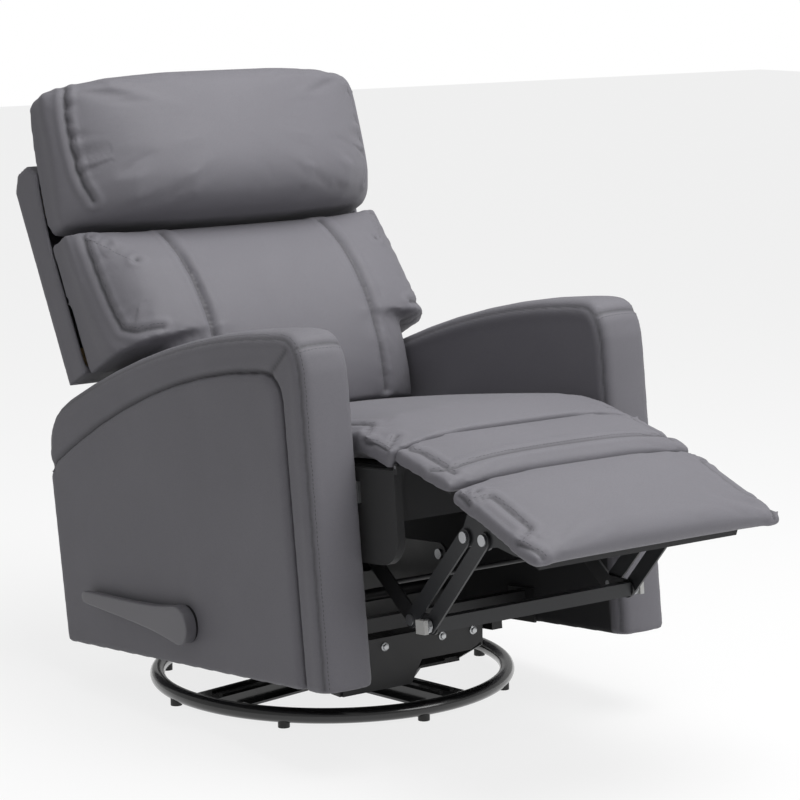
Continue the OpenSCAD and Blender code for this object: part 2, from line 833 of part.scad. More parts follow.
// Flap and footrest cushions
// A slab cushion laid along a slope from its root: flat underside, crowned top, rolled front end.
// Rows are given as shares of the length; the last ones lie in the roll, whose radius is given.
slab_shares = [0, 0.03, 0.12, 0.35, 0.65];
roll_shares = [0, 0.5, 0.8, 0.95];
roll_in_share = 0.6;
roll_flat_share = 0.92;
function roll_fall(d) = 1 - sqrt(1 - d * d);
module slab_cushion(root, slope, u0, u1, half, side_t, thick, roll, rear_round) {
    straight = [for (s = slab_shares) [mid(u0, u1 - roll, s), 0, pow(max(0, 1 - s / 0.12), 2)]];
    rolled = [for (d = roll_shares) [u1 - roll + d * roll, roll_fall(d), 0]];
    rows = [for (r = concat(straight, rolled))
        let (v = (r[0] - u0) / (u1 - u0),
             w = half - waist * (1 - end_fall(v, 2)) - roll_in_share * roll * pow(r[1], 1.5),
             keep = 1 - roll_flat_share * r[1])
        pad_ring(columns_of(w),
            function(x, h) let (p = root + r[0] * along(slope) + h * above(slope)) [x, p.x, p.y],
            function(x) let (t = side_t + (thick - side_t) * (1 - edge_fall(x / w, 4)))
                t * (1 + keep) / 2 - rear_round * r[2],
            function(x) let (t = side_t + (thick - side_t) * (1 - edge_fall(x / w, 4)))
                t * (1 - keep) / 2, side_pull)];
    skin(rows);
}
slab_side_t = 26;
flap_half = seat_half - pad_in;
flap_back = 3.5;
flap_over = 6.5;
flap_roll = 20;
footrest_roll = 26;
footrest_rear_round = 6;
module flap_cushion() {
    color(leather) body()
        slab_cushion(flap_hinge + flap_over * above(flap_slope), flap_slope, -flap_back, flap_len,
            flap_half, slab_side_t - flap_over / 2, flap_t - flap_over, flap_roll, 0);
}
flap_board_gap = 9;
board_play = 1;
function on_flap(u, h) = flap_hinge + u * along(flap_slope) + h * above(flap_slope);
module flap_board() {
    length = flap_len - 2 * flap_board_gap;
    low = flap_over - flap_board_t;
    color(cloth) body() side_view(board_play - board_in, board_in - board_play) difference() {
        union() {
            polygon([on_flap(0, low), on_flap(length, low),
                     on_flap(length, flap_over), on_flap(0, flap_over)]);
            translate(flap_hinge) circle(r = ear_r);
        }
        translate(flap_hinge) circle(r = rod_r + run_gap);
    }
}
module footrest_cushion() {
    color(leather) body()
        slab_cushion(footrest_root + footrest_frame * above(footrest_slope), footrest_slope,
            0, footrest_len, footrest_half, slab_side_t, footrest_pad_t, footrest_roll,
            footrest_rear_round);
}
frame_back = 6;
frame_front = 44;
module footrest_board() {
    length = footrest_len - frame_front;
    color(cloth) body() translate([-crank_x, footrest_root.x, footrest_root.y])
        rotate([footrest_slope, 0, 0]) translate([0, -length, 0])
            cube([2 * crank_x, length - frame_back, footrest_frame]);
}

// Footrest linkage
module crank_plates() {
    color(steel_paint) body() pair() side_view(crank_x, crank_x + plate_t) difference() {
        union() {
            for (at = [crank_pivot, rear_foot, front_foot]) translate(at) circle(d = crank_w);
            for (leg = [[crank_pivot, rear_foot], [rear_foot, front_foot]])
                let (run = leg[1] - leg[0], side = crank_w / 2 * [-run.y, run.x] / norm(run))
                polygon([leg[0] + side, leg[1] + side, leg[1] - side, leg[0] - side]);
        }
        translate(crank_pivot) circle(r = pin_r + run_gap);
        translate(rear_foot) circle(r = pin_r);
        translate(front_foot) circle(r = pin_r);
    }
}
drive_wall = 2;
module drive_tube_bar() {
    color(link_grey) body() side_view(-crank_x, crank_x) difference() {
        translate(front_foot) square(drive_tube, center = true);
        translate(front_foot) square(drive_tube - 2 * drive_wall, center = true);
    }
}
module drive_tube_caps() {
    color(cap_white) body() pair()
        side_view(cap_x, cap_x + cap_t) translate(front_foot) square(drive_tube, center = true);
}
module crank_pins() {
    color(zinc) body() pair() {
        x_rod(crank_x, link_x + plate_t + slide_gap, pin_r, rear_foot);
        x_rod(link_x + plate_t + slide_gap, link_x + plate_t + slide_gap + head_t, head_r,
            rear_foot);
        x_rod(crank_x, cap_x, pin_r, front_foot);
        x_rod(spring_x, cap_x, coil_core_r, front_foot);
    }
}
cross_rod_r = 4;
module crank_cross_rod() {
    color(steel_paint) body()
        x_rod(-crank_x, crank_x, cross_rod_r, (crank_pivot + rear_foot) / 2);
}
// Coil spring round the front foot's stub, one unbroken tube
coil_r = 11;
coil_wire = 0.8;
coil_turns = 3.5;
coil_pitch = 2.1;
coil_steps = 8;
coil_sides = 6;
coil_clear = 0.3;
coil_core_r = coil_r * cos(180 / coil_steps) - coil_wire - coil_clear;
function coil_point(t) = [spring_x + coil_clear + coil_wire + coil_pitch * t,
    front_foot.x + coil_r * cos(360 * t), front_foot.y + coil_r * sin(360 * t)];
coil_points = [for (i = [0:coil_turns * coil_steps]) coil_point(i / coil_steps)];
function coil_gap(points, k) = min([for (i = [0:len(points) - 1 - k])
    norm(points[i + k] - points[i])]) - 2 * coil_wire;
echo(spring_gap = coil_gap(coil_points, coil_steps));
module coil_tube(points, r) {
    n = coil_sides;
    m = len(points);
    rings = [for (i = [0:m - 1])
        let (a = points[max(0, i - 1)], b = points[min(m - 1, i + 1)], t = (b - a) / norm(b - a),
             out = [0, points[i].y - front_foot.x, points[i].z - front_foot.y],
             u = (out - (out * t) * t) / norm(out - (out * t) * t), w = cross(t, u))
        for (j = [0:n - 1]) points[i] + r * (cos(360 * j / n) * u + sin(360 * j / n) * w)];
    walls = [for (i = [0:m - 2], j = [0:n - 1], k = [0:1])
        k == 0 ? [i * n + j, (i + 1) * n + j, i * n + (j + 1) % n]
               : [i * n + (j + 1) % n, (i + 1) * n + j, (i + 1) * n + (j + 1) % n]];
    caps = [for (j = [1:n - 2], k = [0:1])
        k == 0 ? [0, j, j + 1] : [(m - 1) * n, (m - 1) * n + j + 1, (m - 1) * n + j]];
    polyhedron(rings, concat(walls, caps));
}
module crank_springs() {
    color(zinc) body() pair() coil_tube(coil_points, coil_wire);
}
module rear_footrest_links() {
    color(link_grey) body() pair() side_view(link_x, link_x + plate_t)
        link_shape(rear_foot, rear_head, link_w, pin_r + run_gap, pin_r + run_gap);
}
module front_footrest_links() {
    color(link_grey) body() pair() side_view(link_x, link_x + plate_t)
        link_shape(front_foot, front_head, link_w, pin_r + run_gap, pin_r + pivot_gap);
}
// Side plates of the footrest: outline in the footrest's own frame, along and above its slope
bracket_r = 16;
bracket_hole_r = 3.2;
bracket_outline = [[-2, 26], [150, 26], [150, 6], [118, -6], [78, -14], [30, -46], [-8, -40]];
bracket_holes = [[72, 8], [96, 10], [118, 12], [138, 15]];
function on_footrest(q) = footrest_root + q.x * along(footrest_slope)
    + q.y * above(footrest_slope);
module footrest_brackets() {
    color(link_grey) body() pair() side_view(crank_x, crank_x + plate_t) difference() {
        union() {
            polygon([for (q = bracket_outline) on_footrest(q)]);
            translate(rear_head) circle(r = bracket_r);
            translate(front_head) circle(r = bracket_r);
        }
        translate(rear_head) circle(r = pin_r);
        translate(front_head) circle(r = pin_r);
        for (q = bracket_holes) translate(on_footrest(q)) circle(r = bracket_hole_r);
    }
}
module footrest_pins() {
    color(zinc) body() pair()
        for (at = [rear_head, front_head]) {
            x_rod(crank_x, link_x + plate_t + slide_gap, pin_r, at);
            x_rod(link_x + plate_t + slide_gap, link_x + plate_t + slide_gap + head_t, head_r, at);
        }
}
// Back, in its own frame: x across, s up the back, n forward
module back_place() {
    body() translate([0, hinge_at.x, hinge_at.y]) rotate([-back_lean, 0, 0]) children();
}
// Side view of the cover in (n, s), drawn with -n as Y and s as Z
module cover_profile(low) {
    polygon([
        [-cover_rear, low], [-cover_front, low], [-cover_front, cover_bend],
        [-cover_top_front, back_len - cover_corner], [cover_bevel - cover_top_front, back_len],
        [-cover_rear - cover_bevel, back_len], [-cover_rear, back_len - cover_corner]]);
}
// Hollow of the cover, open towards the cushions
module cover_hollow(low) {
    top = back_len - cover_corner - cover_wall;
    polygon([
        [-cover_rear - cover_wall, low + cover_wall], [-cover_top_front - cut, low + cover_wall],
        [-cover_top_front - cut, top], [-cover_rear - cover_wall, top]]);
}
module back_cover() {
    color(leather_side) back_place() difference() {
        union() {
            side_view(-back_half, back_half) cover_profile(wing_low);
            side_view(-stem_half, stem_half) cover_profile(stem_low);
        }
        side_view(-back_half + cover_wall, back_half - cover_wall) cover_hollow(wing_low);
        side_view(-stem_half + cover_wall, stem_half - cover_wall) cover_hollow(stem_low);
    }
}
frame_gap = 1;
frame_t = 26;
frame_w = 44;
module back_frame() {
    n0 = cover_rear + cover_wall;
    half = stem_half - cover_wall - frame_gap;
    low = stem_low + cover_wall + frame_gap;
    top = back_len - cover_corner - cover_wall - frame_gap;
    wing = back_half - cover_wall - frame_gap;
    color(wood_tone) back_place() {
        for (side = [-1, 1])
            translate([side > 0 ? half - frame_w : -half, -n0 - frame_t, low])
                cube([frame_w, frame_t, top - low]);
        for (s = [low, wing_low + cover_wall + frame_gap, top - frame_w])
            translate([-half + frame_w, -n0 - frame_t, s])
                cube([2 * (half - frame_w), frame_t, frame_w]);
        for (side = [-1, 1], s = [wing_low + cover_wall + frame_gap, top - frame_w])
            translate([side > 0 ? half : -wing, -n0 - frame_t, s])
                cube([wing - half, frame_t, frame_w]);
    }
}
back_plate_in = 10;
module back_hinge_plates() {
    color(steel_paint) back_place() pair()
        side_view(stem_half, stem_half + plate_t) difference() {
            union() {
                circle(d = hinge_plate_w);
                polygon([
                    [hinge_plate_w / 2, 0], [-hinge_plate_w / 2, -hinge_plate_w / 4],
                    [back_plate_in - cover_front, stem_low + back_plate_in],
                    [back_plate_in - cover_front, wing_low - back_plate_in],
                    [-cover_rear, wing_low - back_plate_in], [-cover_rear, stem_low]]);
            }
            circle(r = pin_r);
        }
}
module back_hinge_pins() {
    color(zinc) back_place() pair() {
        x_rod(board_in - plate_t - slide_gap, stem_half + plate_t, pin_r, [0, 0]);
        x_rod(board_in - plate_t - slide_gap - head_t, board_in - plate_t - slide_gap, head_r,
            [0, 0]);
    }
}
// Lumbar cushion: wings above the arms, a narrower stem between them, two sewn channels
channel_x = 169;
channel_w = 11;
channel_deep = 9;
lumbar_low = -4;
lumbar_play = 6;
lumbar_stem_half = arm_in - lumbar_play;
lumbar_in = 2;
lumbar_half = back_half - lumbar_in;
lumbar_drop = 6;
lumbar_step = wing_low - lumbar_drop;
// Rows of the cushion: place along its length, as shares, and how far forward it reaches there
lumbar_rows_shares = [[0, 0.86], [0.03, 0.9], [0.12, 0.945], [0.26, 0.985], [0.385, 1],
    [0.4, 1], [0.52, 0.985], [0.66, 0.945], [0.8, 0.88], [0.91, 0.8], [0.97, 0.735], [1, 0.66]];
function lumbar_columns(w) = let (side = channel_x + channel_w, rest = w - side)
    concat([for (s = [1, 0.95, 0.82, 0.6, 0.25]) -side - s * rest],
        [-side, -channel_x, -channel_x + channel_w, -0.4 * channel_x, 0, 0.4 * channel_x,
         channel_x - channel_w, channel_x, side],
        [for (s = [0.25, 0.6, 0.82, 0.95, 1]) side + s * rest]);
function channel(x) = abs(abs(x) - channel_x) < 0.5 * channel_w ? channel_deep : 0;
lumbar_side_t = 57;
lumbar_side_low = 40;
stem_side_in = 40;
lumbar_ear = 22;
module lumbar_cushion() {
    low = cover_front;
    length = lumbar_len - lumbar_low;
    rows = [for (r = lumbar_rows_shares)
        let (s = lumbar_low + r[0] * length,
             front = lumbar_reach * r[1],
             wide = s > lumbar_step,
             w = (wide ? lumbar_half : lumbar_stem_half) - (wide ? waist * (1 - end_fall(r[0], 2)) : 0),
             rise = lumbar_ear * pow(max(0, (r[0] - 0.6) / 0.4), 2),
             edge = wide ? low + lumbar_side_t + lumbar_side_low * pow((1 - r[0]) / 0.6, 2)
                         : front - stem_side_in)
        pad_ring(lumbar_columns(w),
            function(x, h) [x, -h, s + rise * edge_fall(x / w, 5)],
            function(x) edge + (front - edge) * (1 - edge_fall(x / w, wide ? 10 : 6))
                - channel(x) * (1 - end_fall(r[0], 6)),
            function(x) low, side_pull)];
    color(leather) back_place() skin_back(rows);
}
// Rings drawn with -h as Y run the other way round, so their faces are turned
module skin_back(rows) {
    skin([for (i = [len(rows) - 1:-1:0]) rows[i]]);
}
// Rows of the pillow: place along its length, as shares, and how far forward it reaches there
pillow_rows_shares = [[0, 0.68], [0.02, 0.8], [0.08, 0.92], [0.2, 0.985], [0.42, 1], [0.65, 0.99],
    [0.88, 0.975], [0.955, 0.945], [0.985, 0.88], [1, 0.77]];
pillow_out = 2;
pillow_half = back_half + pillow_out;
pillow_gap = 6;
pillow_low_bow = 30;
pillow_top_bow = 4;
pillow_side_t = 68;
pillow_thin_share = 0.35;
pillow_corner = 16;
// How far forward the cover's face and its line further up lie at a place s along the back
top_slope_share = 0.17;
function cover_face(s) = cover_front
    + cover_flare * max(0, (s - cover_bend) / (back_len - cover_corner - cover_bend))
    + top_slope_share * max(0, s - back_len);
module head_pillow() {
    s0 = lumbar_len + pillow_gap + pillow_low_bow;
    s1 = lumbar_len + pillow_gap + pillow_len - pillow_top_bow;
    rows = [for (r = pillow_rows_shares)
        let (v = r[0],
             front = pillow_reach * r[1],
             bow = pillow_top_bow * v - pillow_low_bow * (1 - v),
             w = pillow_half - pillow_corner * pow(end_fall(v, 5), 2) - waist * (1 - end_fall(v, 2)),
             s_at = function(x) mid(s0, s1, v) + bow * (1 - edge_fall(x / w, 3)),
             rear = function(x) cover_face(s_at(x)),
             side = pillow_side_t * (1 - pillow_thin_share * end_fall(v, 3)))
        pad_ring(columns_of(w),
            function(x, h) [x, -h, s_at(x)],
            function(x) let (edge = rear(w) + side)
                edge + (front - edge) * (1 - edge_fall(x / w, 4.3)),
            rear, side_pull)];
    color(leather) back_place() skin_back(rows);
}

base_ring();
base_cross_bars();
base_hub();
foot_glides();
swivel_bearing();
swivel_plate();
swivel_spindle();
glider_side_left();
glider_side_right();
glider_front_plate();
glider_cross_tubes();
glider_pins();
front_glide_links();
rear_glide_links();
chassis_rails();
chassis_cross_tubes();
chassis_end_plates();
chassis_pins();
fixed_slide_rails();
arm_left_core();
arm_left_side_panel();
arm_left_front_pad();
arm_left_top_pad();
arm_right_core();
arm_right_side_panel();
arm_right_front_pad();
arm_right_top_pad();
arm_tag();
handle_escutcheon();
handle_lever();
handle_shaft();
seat_side_boards();
seat_front_board();
seat_rear_board();
seat_webbing();
seat_cushion();
moving_slide_rails();
seat_hinge_plates();
seat_pivot_pins();
flap_hinge_rod();
flap_board();
flap_cushion();
crank_plates();
drive_tube_bar();
drive_tube_caps();
crank_springs();
crank_pins();
crank_cross_rod();
rear_footrest_links();
front_footrest_links();
footrest_board();
footrest_cushion();
footrest_brackets();
footrest_pins();
back_cover();
back_frame();
back_hinge_plates();
back_hinge_pins();
lumbar_cushion();
head_pillow();
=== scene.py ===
"""Swivel glider recliner: leather, stitching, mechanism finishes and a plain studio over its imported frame."""
import json
import math

import bmesh
import bpy
import numpy as np
from mathutils import Matrix, Vector
from mathutils.bvhtree import BVHTree
from mathutils.kdtree import KDTree


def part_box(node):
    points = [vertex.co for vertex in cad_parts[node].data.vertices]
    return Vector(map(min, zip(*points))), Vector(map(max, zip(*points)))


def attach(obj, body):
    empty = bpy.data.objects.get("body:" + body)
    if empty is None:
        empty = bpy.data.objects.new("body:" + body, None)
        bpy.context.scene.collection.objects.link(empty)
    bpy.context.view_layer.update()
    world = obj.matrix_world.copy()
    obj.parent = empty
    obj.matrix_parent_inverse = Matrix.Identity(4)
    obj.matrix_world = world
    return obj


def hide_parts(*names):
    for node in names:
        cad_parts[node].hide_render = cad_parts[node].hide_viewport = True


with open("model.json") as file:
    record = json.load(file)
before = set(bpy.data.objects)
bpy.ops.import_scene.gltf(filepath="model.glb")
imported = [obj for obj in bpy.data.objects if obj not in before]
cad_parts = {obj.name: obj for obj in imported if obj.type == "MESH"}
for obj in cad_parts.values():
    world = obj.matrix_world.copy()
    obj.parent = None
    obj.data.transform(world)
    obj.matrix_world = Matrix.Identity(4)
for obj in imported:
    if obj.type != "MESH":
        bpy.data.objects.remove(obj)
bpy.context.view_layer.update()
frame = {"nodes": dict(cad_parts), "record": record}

bl_info = {
    "name": "Swivel Glider Recliner",
    "version": (1, 0, 0),
    "blender": (4, 5, 0),
    "location": "View3D > Sidebar > Recliner",
    "description": "Builds the padded leather, stitching and finishes of a swivel glider recliner",
    "category": "Object",
}

MM = 0.001

# Places that repeat the part's own values, in millimetres and degrees
ROW_X = 13.0
ROW_Y = 194.462
LEAN = 5.45
BACK_LEAN = 23.0
HINGE = (228.0, 398.0)
ARM_IN = 252.0
ARM_SIDE = 351.0
ARM_FRONT = -500.0
ARM_LOW = 90.0
SEAT_HALF = 249.0
FLAP_ROOT = (-568.0, 436.0)
FLAP_SLOPE = 17.5
FLAP_LEN = 143.0
REST_ROOT = (-696.6, 367.4)
REST_SLOPE = 25.0
CHANNEL_X = 169.0
BACK_HALF = 336.0
HANDLE_AT = (-115.0, 165.0)
HANDLE_LEN = 320.0
HANDLE_RISE = 20.0
HANDLE_X = 359.0


def on_body(x, y, z):
    """A point of the leaning body, in the frame's metres."""
    a = math.radians(LEAN)
    return Vector((x + ROW_X, y * math.cos(a) + z * math.sin(a) + ROW_Y,
                   -y * math.sin(a) + z * math.cos(a))) * MM


def on_back(x, s, n):
    """A point of the back: across, up the back and forward from the hinge line."""
    a = math.radians(BACK_LEAN)
    return on_body(x, HINGE[0] + s * math.sin(a) - n * math.cos(a),
                   HINGE[1] + s * math.cos(a) + n * math.sin(a))


def on_slope(x, root, slope, u, h):
    """A point of the flap or footrest: across, along its slope and above it."""
    a = math.radians(slope)
    return on_body(x, root[0] - u * math.cos(a) - h * math.sin(a),
                   root[1] - u * math.sin(a) + h * math.cos(a))


def way(a, b):
    """Unit direction from one frame point to another."""
    return (b - a).normalized()


BODY_UP = way(on_body(0, 0, 0), on_body(0, 0, 1))
BACK_FRONT = way(on_back(0, 0, 0), on_back(0, 0, 1))
FLAP_UP = way(on_slope(0, FLAP_ROOT, FLAP_SLOPE, 0, 0), on_slope(0, FLAP_ROOT, FLAP_SLOPE, 0, 1))
REST_UP = way(on_slope(0, REST_ROOT, REST_SLOPE, 0, 0), on_slope(0, REST_ROOT, REST_SLOPE, 0, 1))
SIDEWAYS = Vector((1, 0, 0))


# Settings

def length(name, text, value, low, high, digits=4):
    """A length in metres, for a settings group."""
    return bpy.props.FloatProperty(name=name, description=text, default=value, min=low, max=high,
                                   unit="LENGTH", precision=digits)


def number(name, text, value, **limits):
    """A plain number, for a settings group."""
    return bpy.props.FloatProperty(name=name, description=text, default=value, **limits)


class ReclinerLeather(bpy.types.PropertyGroup):
    """Leather colour and surface."""
    colour: bpy.props.FloatVectorProperty(
        name="Leather Colour", description="Base colour of the artificial leather",
        subtype="COLOR", size=3, min=0, max=1, default=(0.150, 0.146, 0.164))
    grain: length("Grain Size", "Size of one pebble of the grain", 0.0013, 0.0004, 0.004)
    depth: number("Grain Depth", "Strength of the grain's bump", 0.22, min=0, max=1)
    roughness: number("Roughness", "Roughness of the leather", 0.56, min=0.2, max=1)


class ReclinerStitching(bpy.types.PropertyGroup):
    """Sizes of the seams and their stitches."""
    pitch: length("Stitch Pitch", "Distance from stitch to stitch", 0.0068, 0.004, 0.012)
    thread: length("Thread Radius", "Radius of the thread", 0.00055, 0.0003, 0.001, 5)
    seam_depth: length("Seam Depth", "Depth of a sewn seam", 0.0032, 0.001, 0.008)
    seam_width: length("Seam Width", "Half width of a sewn seam", 0.0042, 0.001, 0.01)
    stitch_length: length("Stitch Length", "Length of one stitch", 0.0042, 0.002, 0.008)


class ReclinerPadding(bpy.types.PropertyGroup):
    """How the cushions fill out."""
    voxel: length("Voxel", "Mesh size of the cushions before they swell", 0.006, 0.004, 0.01)
    shell_voxel: length("Arm Voxel", "Mesh size of the arms and the back's cover", 0.0048, 0.004, 0.01)
    pressure: number("Pressure", "Inner pressure of the filling", 4.0, min=0, max=10)
    cap: length("Largest Swell", "How far a point of a cushion may move", 0.012, 0, 0.03)
    slack: length("Slack", "How much smaller a cushion starts before it swells", 0.005, 0, 0.012)
    frames: bpy.props.IntProperty(
        name="Frames", description="Steps of the cloth simulation", default=20, min=5, max=30)


class ReclinerStudio(bpy.types.PropertyGroup):
    """Camera and lights."""
    place: bpy.props.FloatVectorProperty(
        name="Camera Place", description="Where the camera stands",
        subtype="TRANSLATION", size=3, default=(-2.70926, -3.757958, 1.30738), precision=5)
    azimuth: number("Azimuth", "Direction of the view round the chair, degrees", -36.02)
    elevation: number("Elevation", "Height of the view above the horizon, degrees", 9.58)
    roll: number("Roll", "Roll of the camera, degrees", -0.46)
    lens: number("Lens", "Focal length on a 36 mm sensor, mm", 126.374, min=20, max=300)
    fill: number("Fill", "Strength of the world's light", 0.40, min=0)
    key: number("Key", "Power of the lamp overhead", 100.0, min=0, unit="POWER")
    side: number("Side", "Power of the lamp in front", 44.0, min=0, unit="POWER")


# Mesh helpers

def activate(piece):
    """Selects one object alone and makes it active."""
    bpy.ops.object.select_all(action="DESELECT")
    piece.select_set(True)
    bpy.context.view_layer.objects.active = piece


def mode(name):
    """Switches the active object to a mode."""
    bpy.ops.object.mode_set(mode=name)


def link(name, mesh):
    """A new object of a mesh, lamp or camera, in the scene."""
    piece = bpy.data.objects.new(name, mesh)
    bpy.context.scene.collection.objects.link(piece)
    return piece


def places(piece):
    """The piece's points as an array."""
    co = np.empty(len(piece.data.vertices) * 3)
    piece.data.vertices.foreach_get("co", co)
    return co.reshape(-1, 3)


def normals(piece):
    """The piece's point normals as an array."""
    no = np.empty(len(piece.data.vertices) * 3)
    piece.data.vertices.foreach_get("normal", no)
    return no.reshape(-1, 3)


def move_to(piece, co):
    """Writes the piece's points."""
    piece.data.vertices.foreach_set("co", np.ascontiguousarray(co).ravel())
    piece.data.update()


def body_places(co):
    """Frame points as millimetres in the leaning body."""
    a = math.radians(LEAN)
    x, y, z = co[:, 0] / MM - ROW_X, co[:, 1] / MM - ROW_Y, co[:, 2] / MM
    return np.stack([x, y * math.cos(a) - z * math.sin(a), y * math.sin(a) + z * math.cos(a)], axis=1)


def row_places(q):
    """Millimetres in the leaning body as frame points."""
    a = math.radians(LEAN)
    x, y, z = q[:, 0], q[:, 1], q[:, 2]
    return np.stack([x + ROW_X, y * math.cos(a) + z * math.sin(a) + ROW_Y,
                     -y * math.sin(a) + z * math.cos(a)], axis=1) * MM


def copy_of(name, *nodes):
    """One new object with merged copies of the named solids."""
    mesh = bpy.data.meshes.new(name)
    form = bmesh.new()
    for node in nodes:
        form.from_mesh(frame["nodes"][node].data)
    bmesh.ops.remove_doubles(form, verts=form.verts, dist=2e-5)
    for face in form.faces:
        face.material_index = 0
    form.to_mesh(mesh)
    form.free()
    mesh.materials.clear()
    for layer in list(mesh.attributes):
        if not layer.is_internal and not layer.is_required and layer.name != "position":
            mesh.attributes.remove(layer)
    return link(name, mesh)


def apply_modifier(piece, kind, **values):
    """Adds a modifier, sets it and applies it."""
    activate(piece)
    modifier = piece.modifiers.new(kind.title(), kind)
    for key, value in values.items():
        setattr(modifier, key, value)
    bpy.ops.object.modifier_apply(modifier=modifier.name)


def remesh(piece, voxel, rounds):
    """Even quads over the piece, with its edges rounded."""
    apply_modifier(piece, "REMESH", mode="VOXEL", voxel_size=voxel, adaptivity=0.0)
    apply_modifier(piece, "SMOOTH", factor=0.5, iterations=rounds)


def swell(piece, held, cap, slack):
    """Fills the piece out as cloth under pressure: held points stay, the others move up to the cap."""
    pad = bpy.context.scene.recliner_padding
    rest = places(piece)
    move_to(piece, rest - normals(piece) * slack * (1 - held)[:, None])
    start = places(piece)
    group = piece.vertex_groups.new(name="held")
    for i in np.nonzero(held > 0.02)[0]:
        group.add([int(i)], float(held[i]), "REPLACE")
    activate(piece)
    cloth = piece.modifiers.new("Cloth", "CLOTH")
    cloth.settings.quality = 4
    cloth.settings.mass = 0.25
    cloth.settings.tension_stiffness = 12
    cloth.settings.compression_stiffness = 12
    cloth.settings.shear_stiffness = 6
    cloth.settings.bending_stiffness = 0.6
    cloth.settings.vertex_group_mass = "held"
    cloth.settings.use_pressure = True
    cloth.settings.uniform_pressure_force = pad.pressure
    cloth.settings.effector_weights.gravity = 0
    cloth.collision_settings.use_collision = False
    cloth.point_cache.frame_end = pad.frames
    for step in range(1, pad.frames + 1):
        bpy.context.scene.frame_set(step)
    bpy.ops.object.modifier_apply(modifier=cloth.name)
    bpy.context.scene.frame_set(1)
    piece.vertex_groups.clear()
    shift = places(piece) - start
    size = np.linalg.norm(shift, axis=1)
    share = np.minimum(1, cap / np.maximum(size, 1e-9))
    move_to(piece, start + shift * share[:, None])
    apply_modifier(piece, "SMOOTH", factor=0.5, iterations=4)


def refine(piece):
    """One level of subdivision."""
    apply_modifier(piece, "SUBSURF", levels=1, render_levels=1, boundary_smooth="ALL")


def fill_out(piece, node, up, facing, rounds, share, proud):
    """Evens a cushion's mesh, fills it out where it faces up and keeps it by its solid's box."""
    pad = bpy.context.scene.recliner_padding
    remesh(piece, pad.voxel, rounds[0])
    held = smooth_hold(piece, hold(piece, up, *facing), rounds[1])
    swell(piece, held, pad.cap * share, pad.slack * share)
    keep_inside(piece, node, proud)
    refine(piece)


def tree_of(piece):
    """Search tree over the piece's faces."""
    form = bmesh.new()
    form.from_mesh(piece.data)
    tree = BVHTree.FromBMesh(form)
    form.free()
    return tree


def seam_line(piece, points, toward=None, step=0.003, closed=False):
    """A line through the points, laid on the piece along a direction, or at the nearest place."""
    tree = tree_of(piece)
    run = list(points) + ([points[0]] if closed else [])
    line = []
    for a, b in zip(run, run[1:]):
        count = max(1, int((b - a).length / step))
        line += [a.lerp(b, i / count) for i in range(count)]
    line.append(run[-1])
    laid = []
    for p in line:
        hit = tree.ray_cast(p, toward)[0] if toward is not None else None
        if hit is None:
            hit = tree.find_nearest(p)[0]
        laid.append(hit)
    for _ in range(3):
        laid = [laid[0]] + [(laid[i - 1] + laid[i] * 2 + laid[i + 1]) / 4
                            for i in range(1, len(laid) - 1)] + [laid[-1]]
    return laid


def seam_field(piece):
    """The piece's seam attribute: 1 on a seam, 0 away from it."""
    layer = piece.data.attributes.get("seam")
    return layer or piece.data.attributes.new("seam", "FLOAT", "POINT")


def paired_seams(piece, place, spots, toward):
    """Seams along both sides of a piece, through mirrored places."""
    return [seam_line(piece, [place(side * spot[0], *spot[1:]) for spot in spots], toward) for side in (-1, 1)]


def press_seams(piece, lines, depth=None, width=None, puff=0.35):
    """Sinks the seams into the piece, with the filling standing up on both sides."""
    sewing = bpy.context.scene.recliner_stitching
    depth = sewing.seam_depth if depth is None else depth
    width = sewing.seam_width if width is None else width
    points = [p for line in lines for p in line]
    tree = KDTree(len(points))
    for i, p in enumerate(points):
        tree.insert(p, i)
    tree.balance()
    co, no = places(piece), normals(piece)
    away = np.array([tree.find(c)[2] for c in co])
    sink = np.exp(-(away / width) ** 2)
    rise = np.exp(-((away - 3.2 * width) / (1.6 * width)) ** 2)
    move_to(piece, co + no * (depth * (puff * rise - sink))[:, None])
    layer = seam_field(piece)
    old = np.empty(len(co), np.float32)
    layer.data.foreach_get("value", old)
    mark = np.exp(-(away / (0.8 * width)) ** 2)
    layer.data.foreach_set("value", np.maximum(old, mark).astype(np.float32))


def pucker(piece, line, into, depth, pitch, reach, first=0.0, last=1.0):
    """Short creases that run from a seam into the panel beside it, as where a full cushion is gathered."""
    tree = KDTree(len(line))
    for i, p in enumerate(line):
        tree.insert(p, i)
    tree.balance()
    run = [0.0]
    for a, b in zip(line, line[1:]):
        run.append(run[-1] + (b - a).length)
    co, no = places(piece), normals(piece)
    push = np.zeros(len(co))
    for k, c in enumerate(co):
        near, i, d = tree.find(c)
        if d > reach * 1.6:
            continue
        inward = (Vector(c) - near).dot(into)
        if inward < 0:
            continue
        t = run[i]
        share = t / run[-1]
        ends = min(1, max(0, (share - first) * 9)) * min(1, max(0, (last - share) * 9))
        drift = 0.9 * math.sin(t * 23) + 0.6 * math.sin(t * 61 + 1.3)
        slope = 0.35 * inward / pitch * math.sin(t * 17 + 0.4)
        wave = math.sin(2 * math.pi * t / pitch + drift + slope)
        long_share = 0.55 + 0.45 * math.sin(t * 37 + 2.0)
        fade = math.exp(-(inward / (reach * long_share)) ** 1.6) * min(1, inward / 0.004)
        push[k] = depth * ends * fade * (wave - 0.3)
    move_to(piece, co + no * push[:, None])


